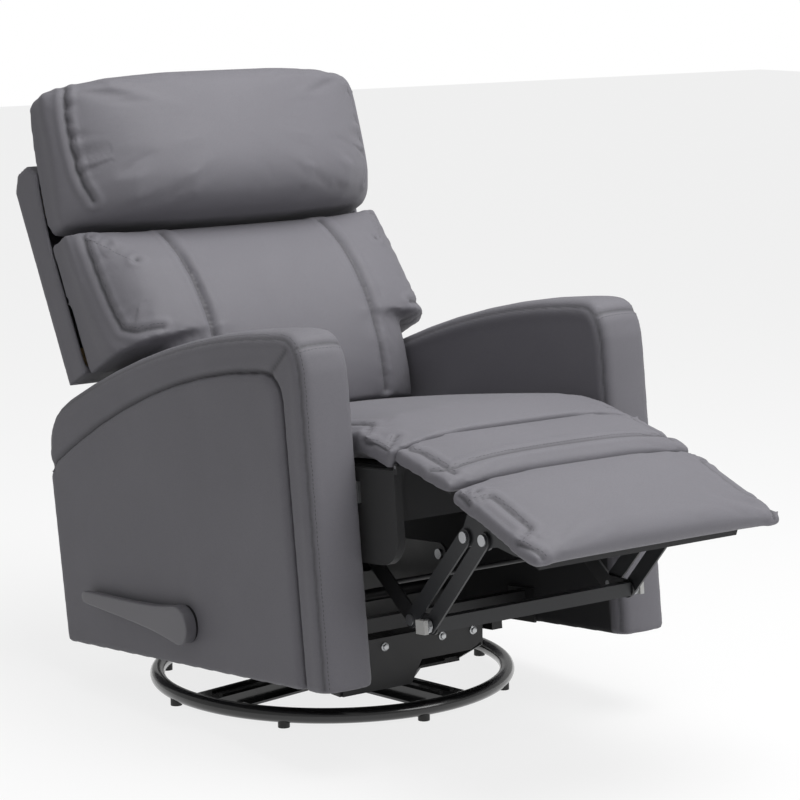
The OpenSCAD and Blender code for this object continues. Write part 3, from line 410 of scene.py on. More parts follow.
def one_stitch():
    """A single thread stitch, made once: a flattened bead with round ends, lying along X."""
    sewing = bpy.context.scene.recliner_stitching
    bpy.ops.object.select_all(action="DESELECT")
    bpy.ops.mesh.primitive_cylinder_add(vertices=6, radius=sewing.thread, depth=sewing.stitch_length,
                                        end_fill_type="NGON", rotation=(0, math.pi / 2, 0))
    bead = bpy.context.active_object
    bpy.ops.object.transform_apply(location=True, rotation=True, scale=True)
    mode("EDIT")
    bpy.ops.mesh.select_all(action="SELECT")
    bpy.ops.mesh.bevel(offset=sewing.thread * 0.45, segments=1, affect="EDGES")
    mode("OBJECT")
    co = places(bead)
    co[:, 2] -= (co[:, 0] / sewing.stitch_length * 2) ** 2 * sewing.thread * 0.7
    faces = [tuple(f.vertices) for f in bead.data.polygons]
    bpy.data.objects.remove(bead, do_unlink=True)
    return co, faces


def stitch(name, piece, lines, aside, body):
    """Rows of stitches along seams of a piece, each row laid a little to one side of its seam."""
    sewing = bpy.context.scene.recliner_stitching
    tree = tree_of(piece)
    bead, bead_faces = one_stitch()
    co, faces = [], []
    for line in lines:
        rest = sewing.pitch / 2
        for a, b in zip(line, line[1:]):
            length = (b - a).length
            if length < 1e-7:
                continue
            while rest <= length:
                p = a.lerp(b, rest / length)
                along = (b - a).normalized()
                spot, face_normal, _, _ = tree.find_nearest(p)
                side = face_normal.cross(along).normalized()
                spot, face_normal, _, _ = tree.find_nearest(spot + side * aside)
                side = face_normal.cross(along).normalized()
                ahead = side.cross(face_normal).normalized()
                turn = Matrix((ahead, side, face_normal)).transposed()
                base = len(co) * len(bead)
                place = spot + face_normal * sewing.thread * 0.15
                co.append(bead @ np.array(turn.transposed()) + np.array(place))
                faces += [tuple(base + i for i in f) for f in bead_faces]
                rest += sewing.pitch
            rest -= length
    mesh = bpy.data.meshes.new(name)
    mesh.from_pydata(np.concatenate(co).tolist(), [], faces)
    mesh.update()
    finish(link(name, mesh), body, "thread")


def smooth_shade(piece, angle=40):
    """Smooth faces with sharp edges kept."""
    activate(piece)
    bpy.ops.object.shade_smooth_by_angle(angle=math.radians(angle))


def finish(piece, body, material):
    """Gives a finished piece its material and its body."""
    piece.data.materials.clear()
    piece.data.materials.append(bpy.data.materials[material])
    if material != "thread":
        smooth_shade(piece, 60)
    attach(piece, body)
    return piece


def hold(piece, direction, low, high):
    """How firmly points are held: 1 where they face away from a direction, 0 where they face it."""
    facing = normals(piece) @ np.array(direction)
    return np.clip((high - facing) / (high - low), 0, 1)


def smooth_hold(piece, held, rounds):
    """Evens the held share out over neighbouring points."""
    edges = np.empty(len(piece.data.edges) * 2, np.int32)
    piece.data.edges.foreach_get("vertices", edges)
    edges = edges.reshape(-1, 2)
    count = np.bincount(edges.ravel(), minlength=len(held))
    for _ in range(rounds):
        total = np.bincount(edges[:, 0], held[edges[:, 1]], len(held)) \
            + np.bincount(edges[:, 1], held[edges[:, 0]], len(held))
        held = 0.5 * held + 0.5 * total / np.maximum(count, 1)
    return held


def keep_inside(piece, node, proud):
    """Keeps the piece within its solid's box, apart from what may stand proud."""
    low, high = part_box(node)
    co = places(piece)
    move_to(piece, np.clip(co, np.array(low) - np.array(proud), np.array(high) + np.array(proud)))


# Materials

def new_group(name, inputs, outputs):
    """A shader node group with named float, vector or colour sockets."""
    group = bpy.data.node_groups.new(name, "ShaderNodeTree")
    for socket, kind, value in inputs:
        made = group.interface.new_socket(name=socket, in_out="INPUT", socket_type=kind)
        if value is not None:
            made.default_value = value
    for socket, kind in outputs:
        group.interface.new_socket(name=socket, in_out="OUTPUT", socket_type=kind)
    return group, group.nodes.new("NodeGroupInput"), group.nodes.new("NodeGroupOutput")


def feed(group, value, socket):
    """Sets a socket to a number, or links another socket to it."""
    if isinstance(value, (int, float)):
        socket.default_value = value
    else:
        group.links.new(value, socket)


def math_node(group, operation, a, b=None, c=None, clamp=False):
    """A Math node whose inputs are sockets or numbers."""
    node = group.nodes.new("ShaderNodeMath")
    node.operation = operation
    node.use_clamp = clamp
    for i, value in enumerate((a, b, c)):
        if value is not None:
            feed(group, value, node.inputs[i])
    return node.outputs[0]


def noise_node(group, vector, scale, detail, rough=0.5, distortion=0.0):
    """A noise texture whose scale is a socket or a number."""
    node = group.nodes.new("ShaderNodeTexNoise")
    group.links.new(vector, node.inputs["Vector"])
    feed(group, scale, node.inputs["Scale"])
    node.inputs["Detail"].default_value = detail
    node.inputs["Roughness"].default_value = rough
    node.inputs["Distortion"].default_value = distortion
    return node.outputs["Fac"]


def leather_grain_group():
    """Pebbled grain: a height, and a mask of its hollows."""
    group, source, sink = new_group(
        "Leather Grain",
        [("Vector", "NodeSocketVector", None), ("Pebble Size", "NodeSocketFloat", 0.0013)],
        [("Height", "NodeSocketFloat"), ("Hollows", "NodeSocketFloat")])
    scale = math_node(group, "DIVIDE", 1.0, source.outputs["Pebble Size"])
    wobble = group.nodes.new("ShaderNodeTexNoise")
    group.links.new(source.outputs["Vector"], wobble.inputs["Vector"])
    wobble.inputs["Scale"].default_value = 210
    wobble.inputs["Detail"].default_value = 2
    mixed = group.nodes.new("ShaderNodeVectorMath")
    mixed.operation = "MULTIPLY_ADD"
    group.links.new(wobble.outputs["Color"], mixed.inputs[0])
    mixed.inputs[1].default_value = (0.0016, 0.0016, 0.0016)
    group.links.new(source.outputs["Vector"], mixed.inputs[2])
    pebbles = group.nodes.new("ShaderNodeTexVoronoi")
    pebbles.feature = "DISTANCE_TO_EDGE"
    group.links.new(mixed.outputs[0], pebbles.inputs["Vector"])
    group.links.new(scale, pebbles.inputs["Scale"])
    hollow = math_node(group, "MULTIPLY", pebbles.outputs["Distance"], 4.5, clamp=True)
    soft = noise_node(group, source.outputs["Vector"], 420, 3, 0.6)
    height = math_node(group, "MULTIPLY_ADD", soft, 0.35, hollow)
    group.links.new(height, sink.inputs["Height"])
    group.links.new(math_node(group, "SUBTRACT", 1.0, hollow), sink.inputs["Hollows"])
    return group


def soft_folds_group():
    """Broad unevenness of a padded cover, with fine creases that gather at its seams."""
    group, source, sink = new_group(
        "Soft Folds",
        [("Vector", "NodeSocketVector", None), ("Seam", "NodeSocketFloat", 0.0)],
        [("Height", "NodeSocketFloat"), ("Tone", "NodeSocketFloat")])
    broad = noise_node(group, source.outputs["Vector"], 7.0, 3, 0.5, 0.6)
    fine = noise_node(group, source.outputs["Vector"], 46.0, 4, 0.55, 1.1)
    gather = math_node(group, "MULTIPLY", math_node(group, "POWER", source.outputs["Seam"], 0.6), fine)
    height = math_node(group, "MULTIPLY_ADD", broad, 0.8, math_node(group, "MULTIPLY", gather, 0.7))
    height = math_node(group, "MULTIPLY_ADD", fine, 0.06, height)
    group.links.new(height, sink.inputs["Height"])
    tone = math_node(group, "MULTIPLY_ADD", math_node(group, "SUBTRACT", broad, 0.5), 0.55, 0.5)
    group.links.new(tone, sink.inputs["Tone"])
    return group


def edge_wear_group():
    """Mask of worn edges and scuffs on a finish, from noise over the surface."""
    group, source, sink = new_group(
        "Edge Wear",
        [("Vector", "NodeSocketVector", None), ("Amount", "NodeSocketFloat", 0.3)],
        [("Wear", "NodeSocketFloat"), ("Smudge", "NodeSocketFloat"), ("Height", "NodeSocketFloat")])
    patch = noise_node(group, source.outputs["Vector"], 60, 6, 0.65, 0.4)
    scratch_way = group.nodes.new("ShaderNodeMapping")
    scratch_way.inputs["Scale"].default_value = (18, 260, 260)
    group.links.new(source.outputs["Vector"], scratch_way.inputs["Vector"])
    scratch = noise_node(group, scratch_way.outputs["Vector"], 1.0, 3, 0.7)
    low = math_node(group, "SUBTRACT", 0.82, math_node(group, "MULTIPLY", source.outputs["Amount"], 0.25))
    worn = math_node(group, "MULTIPLY", math_node(group, "SUBTRACT", patch, low), 9, clamp=True)
    lines = math_node(group, "MULTIPLY", math_node(group, "SUBTRACT", scratch, low), 7, clamp=True)
    group.links.new(math_node(group, "MAXIMUM", worn, lines), sink.inputs["Wear"])
    smudge = noise_node(group, source.outputs["Vector"], 14, 4, 0.6, 0.8)
    group.links.new(smudge, sink.inputs["Smudge"])
    speckle = noise_node(group, source.outputs["Vector"], 900, 2)
    group.links.new(speckle, sink.inputs["Height"])
    return group


def weave_group():
    """Plain weave: over and under threads, with a height and a tone."""
    group, source, sink = new_group(
        "Weave",
        [("Vector", "NodeSocketVector", None), ("Thread Size", "NodeSocketFloat", 0.001)],
        [("Height", "NodeSocketFloat"), ("Tone", "NodeSocketFloat")])
    split = group.nodes.new("ShaderNodeSeparateXYZ")
    group.links.new(source.outputs["Vector"], split.inputs[0])
    turns = math_node(group, "DIVIDE", math.pi, source.outputs["Thread Size"])
    across = math_node(group, "SINE", math_node(group, "MULTIPLY", split.outputs["X"], turns))
    tall = math_node(group, "ADD", split.outputs["Y"], split.outputs["Z"])
    along = math_node(group, "SINE", math_node(group, "MULTIPLY", tall, turns))
    over = math_node(group, "MULTIPLY", across, along)
    fuzz = noise_node(group, source.outputs["Vector"], 700, 3)
    group.links.new(math_node(group, "MULTIPLY_ADD", over, 0.5, fuzz), sink.inputs["Height"])
    group.links.new(math_node(group, "MULTIPLY_ADD", over, 0.25, 0.5), sink.inputs["Tone"])
    return group


def new_material(name):
    """An empty node material: its tree, its shader and the object coordinates."""
    material = bpy.data.materials.new(name)
    material.use_nodes = True
    tree = material.node_tree
    shader = tree.nodes["Principled BSDF"]
    coords = tree.nodes.new("ShaderNodeTexCoord").outputs["Object"]
    return tree, shader, coords


def use_group(tree, name, coords, **values):
    """Places a node group in a material."""
    node = tree.nodes.new("ShaderNodeGroup")
    node.node_tree = bpy.data.node_groups[name]
    tree.links.new(coords, node.inputs["Vector"])
    for key, value in values.items():
        node.inputs[key.replace("_", " ")].default_value = value
    return node


def shaded(colour, share):
    """A colour made lighter or darker."""
    return tuple(min(1, c * share) for c in colour)


def blend_colours(tree, mask, a, b):
    """A Mix of two colours, either of which may be a socket."""
    node = tree.nodes.new("ShaderNodeMix")
    node.data_type = "RGBA"
    tree.links.new(mask, node.inputs["Factor"])
    for socket, value in (("A", a), ("B", b)):
        place = [s for s in node.inputs if s.name == socket and s.type == "RGBA"][0]
        if isinstance(value, tuple):
            place.default_value = (*value, 1)
        else:
            tree.links.new(value, place)
    return [s for s in node.outputs if s.type == "RGBA"][0]


def bump(tree, shader, layers):
    """Stacked bumps that feed the shader's normal: (height socket, distance, strength)."""
    before = None
    for height, distance, strength in layers:
        node = tree.nodes.new("ShaderNodeBump")
        node.inputs["Distance"].default_value = distance
        node.inputs["Strength"].default_value = strength
        tree.links.new(height, node.inputs["Height"])
        if before is not None:
            tree.links.new(before, node.inputs["Normal"])
        before = node.outputs["Normal"]
    tree.links.new(before, shader.inputs["Normal"])


def leather_material(name, shade, with_painted_under_seat_shade=False):
    """Artificial leather with grain, soft unevenness and painted shade darkening its seams; a shade share below one
    gives a darker copy as painted shade, and with the under-seat mask the inner arm faces below the seat turn to
    black cloth as painted shade.
    """
    look = bpy.context.scene.recliner_leather
    tree, shader, coords = new_material(name)
    grain = use_group(tree, "Leather Grain", coords, Pebble_Size=look.grain)
    folds = use_group(tree, "Soft Folds", coords)
    seam = tree.nodes.new("ShaderNodeAttribute")
    seam.attribute_name = "seam"
    tree.links.new(seam.outputs["Fac"], folds.inputs["Seam"])
    base = shaded(look.colour, shade)
    pale = shaded(base, 1.10)
    deep = shaded(base, 0.90)
    colour = blend_colours(tree, folds.outputs["Tone"], deep, pale)
    colour = blend_colours(tree, math_node(tree, "MULTIPLY", grain.outputs["Hollows"], 0.30), colour,
                           shaded(base, 0.62))
    # Painted shade: the colour darkens towards 0.30 along the seams, standing for the shade in their grooves
    colour = blend_colours(tree, math_node(tree, "MULTIPLY", seam.outputs["Fac"], 0.72), colour,
                           shaded(base, 0.30))
    rough = math_node(tree, "MULTIPLY_ADD", folds.outputs["Tone"], -0.14, look.roughness + 0.07)
    rough = math_node(tree, "MULTIPLY_ADD", grain.outputs["Hollows"], 0.18, rough)
    # Painted shade: black cloth where the under-seat mask is set, on the inner arm faces below the seat
    if with_painted_under_seat_shade:
        painted_under_seat_shade = tree.nodes.new("ShaderNodeAttribute")
        painted_under_seat_shade.attribute_name = "painted_under_seat_shade"
        weave = use_group(tree, "Weave", coords, Thread_Size=0.0009)
        cloth = blend_colours(tree, weave.outputs["Tone"], (0.006, 0.006, 0.007), (0.014, 0.014, 0.016))
        colour = blend_colours(tree, painted_under_seat_shade.outputs["Fac"], colour, cloth)
        rough = math_node(tree, "MAXIMUM", rough, math_node(tree, "MULTIPLY", painted_under_seat_shade.outputs["Fac"], 0.95))
    tree.links.new(colour, shader.inputs["Base Color"])
    tree.links.new(rough, shader.inputs["Roughness"])
    shader.inputs["Specular IOR Level"].default_value = 0.42
    shader.inputs["Sheen Weight"].default_value = 0.06
    shader.inputs["Sheen Roughness"].default_value = 0.5
    bump(tree, shader, [(folds.outputs["Height"], 0.006, 0.28), (grain.outputs["Height"], 0.0005, look.depth)])


def metal_material(name, colour, rough, metallic=0.0, coat=0.0, wear=0.3, bare=(0.45, 0.45, 0.46)):
    """Painted or plated metal with scuffs, smudges and fine speckle."""
    tree, shader, coords = new_material(name)
    scuff = use_group(tree, "Edge Wear", coords, Amount=wear)
    toned = blend_colours(tree, scuff.outputs["Smudge"], shaded(colour, 0.82), shaded(colour, 1.2))
    worn = math_node(tree, "MULTIPLY", scuff.outputs["Wear"], 0.5 * wear)
    tree.links.new(blend_colours(tree, worn, toned, bare), shader.inputs["Base Color"])
    roughness = math_node(tree, "MULTIPLY_ADD", scuff.outputs["Smudge"], 0.22, rough - 0.08)
    tree.links.new(roughness, shader.inputs["Roughness"])
    shader.inputs["Metallic"].default_value = metallic
    shader.inputs["Coat Weight"].default_value = coat
    shader.inputs["Coat Roughness"].default_value = 0.12
    bump(tree, shader, [(scuff.outputs["Height"], 0.0002, 0.12), (scuff.outputs["Smudge"], 0.001, 0.08)])


def cloth_material(name, dark, pale, thread):
    """Woven cloth with its own thread size."""
    tree, shader, coords = new_material(name)
    weave = use_group(tree, "Weave", coords, Thread_Size=thread)
    folds = use_group(tree, "Soft Folds", coords)
    colour = blend_colours(tree, weave.outputs["Tone"], dark, pale)
    colour = blend_colours(tree, math_node(tree, "MULTIPLY", folds.outputs["Tone"], 0.5), colour, dark)
    tree.links.new(colour, shader.inputs["Base Color"])
    tree.links.new(math_node(tree, "MULTIPLY_ADD", weave.outputs["Tone"], 0.1, 0.84), shader.inputs["Roughness"])
    shader.inputs["Sheen Weight"].default_value = 0.15
    bump(tree, shader, [(folds.outputs["Height"], 0.002, 0.2), (weave.outputs["Height"], 0.0004, 0.5)])


def wood_material():
    """Raw laminated wood with grain along the rails."""
    tree, shader, coords = new_material("raw_wood")
    stretch = tree.nodes.new("ShaderNodeMapping")
    stretch.inputs["Scale"].default_value = (6, 60, 60)
    tree.links.new(coords, stretch.inputs["Vector"])
    fibre = noise_node(tree, stretch.outputs["Vector"], 1.4, 7, 0.65, 1.6)
    layer = noise_node(tree, coords, 9, 2)
    colour = blend_colours(tree, fibre, (0.30, 0.19, 0.09), (0.62, 0.44, 0.25))
    tree.links.new(blend_colours(tree, layer, colour, (0.48, 0.33, 0.18)), shader.inputs["Base Color"])
    tree.links.new(math_node(tree, "MULTIPLY_ADD", fibre, 0.2, 0.6), shader.inputs["Roughness"])
    bump(tree, shader, [(fibre, 0.0008, 0.35)])


def plastic_material(name, colour, rough):
    """Moulded plastic with a fine spark texture."""
    tree, shader, coords = new_material(name)
    texture = noise_node(tree, coords, 1100, 2)
    smudge = noise_node(tree, coords, 18, 3, 0.6, 0.5)
    tree.links.new(blend_colours(tree, smudge, shaded(colour, 0.9), shaded(colour, 1.08)),
                   shader.inputs["Base Color"])
    tree.links.new(math_node(tree, "MULTIPLY_ADD", smudge, 0.14, rough - 0.07), shader.inputs["Roughness"])
    bump(tree, shader, [(texture, 0.0002, 0.3)])


# Operators

class RECLINER_OT_materials(bpy.types.Operator):
    """Builds the leather, thread, cloth, metal, wood and plastic finishes"""
    bl_idname = "recliner.materials"
    bl_label = "Build Materials"

    def execute(self, context):
        leather_grain_group()
        soft_folds_group()
        edge_wear_group()
        weave_group()
        leather_material("grey_leather", 1.0)
        # A copy of the leather at 0.94 of its colour: painted shade for the arms' side panels and the back's cover
        leather_material("grey_leather_painted_side_shade", 0.94)
        # A copy at 0.94 of the leather's colour: painted shade over the arms, with black cloth below the seat as
        # painted shade too
        leather_material("grey_leather_arm_painted_shade", 0.94, with_painted_under_seat_shade=True)
        cloth_material("thread", (0.035, 0.034, 0.038), (0.075, 0.073, 0.080), 0.0006)
        cloth_material("board_cloth", (0.012, 0.012, 0.013), (0.026, 0.026, 0.028), 0.0009)
        cloth_material("strap", (0.010, 0.010, 0.011), (0.030, 0.030, 0.032), 0.0016)
        cloth_material("tag_cloth", (0.006, 0.006, 0.006), (0.020, 0.020, 0.020), 0.0006)
        metal_material("gloss_black", (0.0065, 0.0065, 0.007), 0.20, coat=0.6, wear=0.12)
        metal_material("mechanism_paint", (0.012, 0.012, 0.013), 0.42, wear=0.3)
        metal_material("link_paint", (0.020, 0.021, 0.023), 0.40, wear=0.35)
        metal_material("zinc_plate", (0.50, 0.51, 0.52), 0.34, metallic=1.0, wear=0.25, bare=(0.7, 0.7, 0.7))
        wood_material()
        plastic_material("cap_plastic", (0.42, 0.42, 0.41), 0.55)
        plastic_material("glide_plastic", (0.012, 0.012, 0.012), 0.5)
        plastic_material("handle_plastic", (0.120, 0.117, 0.130), 0.46)
        return {"FINISHED"}


class RECLINER_OT_mechanism(bpy.types.Operator):
    """Gives every carried-over solid its finish"""
    bl_idname = "recliner.mechanism"
    bl_label = "Finish Frame And Mechanism"

    def execute(self, context):
        looks = {"black_gloss": "gloss_black", "steel_paint": "mechanism_paint", "link_grey": "link_paint",
                 "zinc": "zinc_plate", "wood": "raw_wood", "cap_white": "cap_plastic",
                 "handle_grey": "handle_plastic", "cloth": "board_cloth", "webbing": "strap",
                 "leather": "grey_leather", "leather_side": "grey_leather_painted_side_shade"}
        for part in frame["record"]["subparts"]:
            node = frame["nodes"][part["node"]]
            look = looks[part["material_slot"]]
            if part["node"] == "arm_tag":
                look = "tag_cloth"
            if part["node"] == "foot_glides":
                look = "glide_plastic"
            node.data.materials.clear()
            node.data.materials.append(bpy.data.materials[look])
        return {"FINISHED"}


class RECLINER_OT_seat_cushion(bpy.types.Operator):
    """Seat cushion: crowned, with a sewn band along both sides"""
    bl_idname = "recliner.seat_cushion"
    bl_label = "Seat Cushion"

    def execute(self, context):
        piece = copy_of("seat_leather", "seat_cushion")
        fill_out(piece, "seat_cushion", BODY_UP, (0.15, 0.55), (5, 6), 1, (0.0004, 0.0, 0.008))
        sides = paired_seams(piece, on_body, [(SEAT_HALF - 4, y, 600) for y in (-8, -300, -480, -572)], -BODY_UP)
        press_seams(piece, sides)
        for side, line in zip((-1, 1), sides):
            pucker(piece, line, SIDEWAYS * -side, 0.0006, 0.030, 0.030)
        finish(piece, "seat", "grey_leather")
        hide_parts("seat_cushion")
        stitch("seat_stitches", piece, sides[:1], 0.007, "seat")
        stitch("seat_stitches_far", piece, sides[1:], -0.007, "seat")
        return {"FINISHED"}


class RECLINER_OT_flap_cushion(bpy.types.Operator):
    """Flap between seat and footrest: side seams and a cross seam near its front"""
    bl_idname = "recliner.flap_cushion"
    bl_label = "Flap Cushion"

    def execute(self, context):
        piece = copy_of("flap_leather", "flap_cushion")
        fill_out(piece, "flap_cushion", FLAP_UP, (0.1, 0.5), (4, 4), 0.6, (0.0004, 0.0, 0.004))
        lines = paired_seams(piece, on_slope, [(SEAT_HALF - 6, FLAP_ROOT, FLAP_SLOPE, u, 120)
                                               for u in (0, 60, FLAP_LEN - 22)], -FLAP_UP)
        across = [on_slope(side * x, FLAP_ROOT, FLAP_SLOPE, u, 120)
                  for side, x, u in ((-1, 238, 84), (-1, 228, 99), (-1, 205, 105), (1, 0, 105),
                                     (1, 205, 105), (1, 228, 99), (1, 238, 84))]
        lines.append(seam_line(piece, across, -FLAP_UP))
        press_seams(piece, lines, puff=0.45)
        finish(piece, "flap", "grey_leather")
        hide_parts("flap_cushion")
        stitch("flap_stitches", piece, [lines[0], lines[2]], 0.007, "flap")
        stitch("flap_stitches_far", piece, lines[1:2], -0.007, "flap")
        return {"FINISHED"}


class RECLINER_OT_footrest_cushion(bpy.types.Operator):
    """Footrest pad: crowned, rolled at its front, with a sewn band along both sides"""
    bl_idname = "recliner.footrest_cushion"
    bl_label = "Footrest Cushion"

    def execute(self, context):
        piece = copy_of("footrest_leather", "footrest_cushion")
        fill_out(piece, "footrest_cushion", REST_UP, (0.0, 0.4), (5, 4), 0.8, (0.0004, 0.006, 0.006))
        sides = paired_seams(piece, on_slope, [(x, REST_ROOT, REST_SLOPE, u, 160) for x, u in (
            (241, 3), (242, 60), (242, 150), (239, 180), (234, 198), (229, 210))], -REST_UP)
        press_seams(piece, sides, puff=0.5)
        for side, line in zip((-1, 1), sides):
            pucker(piece, line, SIDEWAYS * -side, 0.0006, 0.026, 0.026)
        finish(piece, "footrest", "grey_leather")
        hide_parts("footrest_cushion")
        stitch("footrest_stitches", piece, sides[:1], 0.007, "footrest")
        stitch("footrest_stitches_far", piece, sides[1:], -0.007, "footrest")
        return {"FINISHED"}


class RECLINER_OT_lumbar_cushion(bpy.types.Operator):
    """Lumbar cushion: two sewn channels and a boxed side panel above each arm"""
    bl_idname = "recliner.lumbar_cushion"
    bl_label = "Lumbar Cushion"

    def execute(self, context):
        piece = copy_of("lumbar_leather", "lumbar_cushion")
        fill_out(piece, "lumbar_cushion", BACK_FRONT, (0.15, 0.6), (4, 5), 1, (0.0004, 0.006, 0.0))
        channels = paired_seams(piece, on_back, [(CHANNEL_X, s, 420) for s in (8, 120, 240, 358)], -BACK_FRONT)
        sides = paired_seams(piece, on_back, [(x, s, 420) for x, s in (
            (300, 384), (309, 372), (312, 350), (313, 300), (313, 220), (311, 180), (300, 166), (262, 160))],
            -BACK_FRONT)
        press_seams(piece, channels, depth=0.004, width=0.005, puff=0.5)
        press_seams(piece, sides, puff=0.5)
        for side, line in zip((-1, 1), sides):
            pucker(piece, line, SIDEWAYS * -side, 0.0009, 0.034, 0.034)
        finish(piece, "back", "grey_leather")
        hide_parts("lumbar_cushion")
        stitch("lumbar_stitches", piece, [sides[0], channels[0], channels[1]], 0.008, "back")
        stitch("lumbar_stitches_far", piece, sides[1:], -0.008, "back")
        return {"FINISHED"}


class RECLINER_OT_head_pillow(bpy.types.Operator):
    """Head pillow: a full roll with boxed ends, gathered at its side seams"""
    bl_idname = "recliner.head_pillow"
    bl_label = "Head Pillow"

    def execute(self, context):
        piece = copy_of("pillow_leather", "head_pillow")
        fill_out(piece, "head_pillow", BACK_FRONT, (-0.3, 0.3), (5, 4), 1, (0.001, 0.006, 0.004))
        sides = paired_seams(piece, on_back, [(x, s, 460) for x, s in (
            (288, 640), (300, 618), (306, 580), (307, 530), (305, 480), (300, 450), (290, 425))], -BACK_FRONT)
        press_seams(piece, sides, depth=0.004, puff=0.5)
        for side, line in zip((-1, 1), sides):
            pucker(piece, line, SIDEWAYS * -side, 0.0028, 0.030, 0.042, 0.12, 0.86)
        finish(piece, "back", "grey_leather")
        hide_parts("head_pillow")
        return {"FINISHED"}


class RECLINER_OT_arms(bpy.types.Operator):
    """Both arms: one sewn cover over frame and padding, with an inset side panel"""
    bl_idname = "recliner.arms"
    bl_label = "Arms"

    def execute(self, context):
        pad = context.scene.recliner_padding
        for name, side in (("left", -1), ("right", 1)):
            self.cover(pad, name, side)
            self.panel(pad, name, side)
        return {"FINISHED"}

    def cover(self, pad, name, side):
        nodes = [f"arm_{name}_{k}" for k in ("core", "front_pad", "top_pad")]
        piece = copy_of(f"arm_{name}_leather", *nodes)
        q = body_places(places(piece))
        outer = np.abs(q[:, 0]) > 346.8
        flat = outer & (np.abs(q[:, 0]) < 350.9)
        q[flat, 0] = np.sign(q[flat, 0]) * 350.6
        move_to(piece, row_places(q))
        remesh(piece, pad.shell_voxel, 9)
        seams = []
        for x in (ARM_SIDE + 6, ARM_IN - 8):
            seams.append(seam_line(piece, [on_body(side * x, y, z) for y, z in ARM_EDGE]))
        cross = [on_body(side * x, *ARM_NOSE) for x in (ARM_SIDE + 2, 320, 290, ARM_IN - 2)]
        seams.append(seam_line(piece, cross))
        mitre = [on_body(side * (ARM_SIDE + 12), y, z) for y, z in ((-400, 585), (-426, 604), (-452, 624))]
        seams.append(seam_line(piece, mitre, SIDEWAYS * -side))
        press_seams(piece, seams, depth=0.0026, width=0.0046, puff=0.25)
        rim = seam_line(piece, [on_body(side * (ARM_SIDE + 12), y, z) for y, z in PANEL_EDGE],
                        SIDEWAYS * -side, closed=True)
        press_seams(piece, [rim], depth=0.007, width=0.006, puff=0.0)
        q = body_places(places(piece))
        # Mask of the inner arm faces below the seat, which the material paints black as painted shade
        inner = np.clip((268 - np.abs(q[:, 0])) / 6, 0, 1)
        under = np.clip((442 - q[:, 2]) / 4, 0, 1) * np.clip((q[:, 1] + 474) / 5, 0, 1)
        layer = piece.data.attributes.new("painted_under_seat_shade", "FLOAT", "POINT")
        layer.data.foreach_set("value", (inner * under).astype(np.float32))
        # The darker leather copy with black below the seat: painted shade on the arm's cover
        finish(piece, "chair", "grey_leather_arm_painted_shade")
        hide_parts(*nodes)
        stitch(f"arm_{name}_stitches", piece, [seams[0][: int(len(seams[0]) * 0.42)], seams[2]],
               0.0085 * side, "chair")
        stitch(f"arm_{name}_top_stitches", piece, [seams[0][int(len(seams[0]) * 0.44):]],
               0.0085 * side, "chair")

    def panel(self, pad, name, side):
        node = f"arm_{name}_side_panel"
        piece = copy_of(f"arm_{name}_panel", node)
        q = body_places(places(piece))
        back = np.abs(q[:, 0]) < 347.5
        q[back, 0] = side * 338.0
        move_to(piece, row_places(q))
        remesh(piece, pad.shell_voxel, 7)
        q = body_places(places(piece))
        face = np.clip((np.abs(q[:, 0]) - 350) / 3, 0, 1)
        q[:, 0] += side * 1.4 * face
        move_to(piece, row_places(q))
        piece.data.attributes.new("seam", "FLOAT", "POINT")
        # The darker leather copy: painted shade on the side panel
        finish(piece, "chair", "grey_leather_painted_side_shade")
        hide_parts(node)


class RECLINER_OT_back_cover(bpy.types.Operator):
    """Cover round the back's frame, with sewn rear edges"""
    bl_idname = "recliner.back_cover"
    bl_label = "Back Cover"

    def execute(self, context):
        pad = context.scene.recliner_padding
        piece = copy_of("back_leather", "back_cover")
        remesh(piece, pad.shell_voxel, 5)
        edge = BACK_HALF - 9
        seams = paired_seams(piece, on_back, [(edge, s, -40) for s in (160, 300, 420, 505)], BACK_FRONT)
        for s in (508, 158):
            seams.append(seam_line(piece, [on_back(x, s, -40) for x in (-edge, -150, 0, 150, edge)], BACK_FRONT))
        press_seams(piece, seams, depth=0.0026)
        # The darker leather copy: painted shade on the back's cover
        finish(piece, "back", "grey_leather_painted_side_shade")
        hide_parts("back_cover")
        stitch("back_stitches", piece, seams, 0.007, "back")
        return {"FINISHED"}


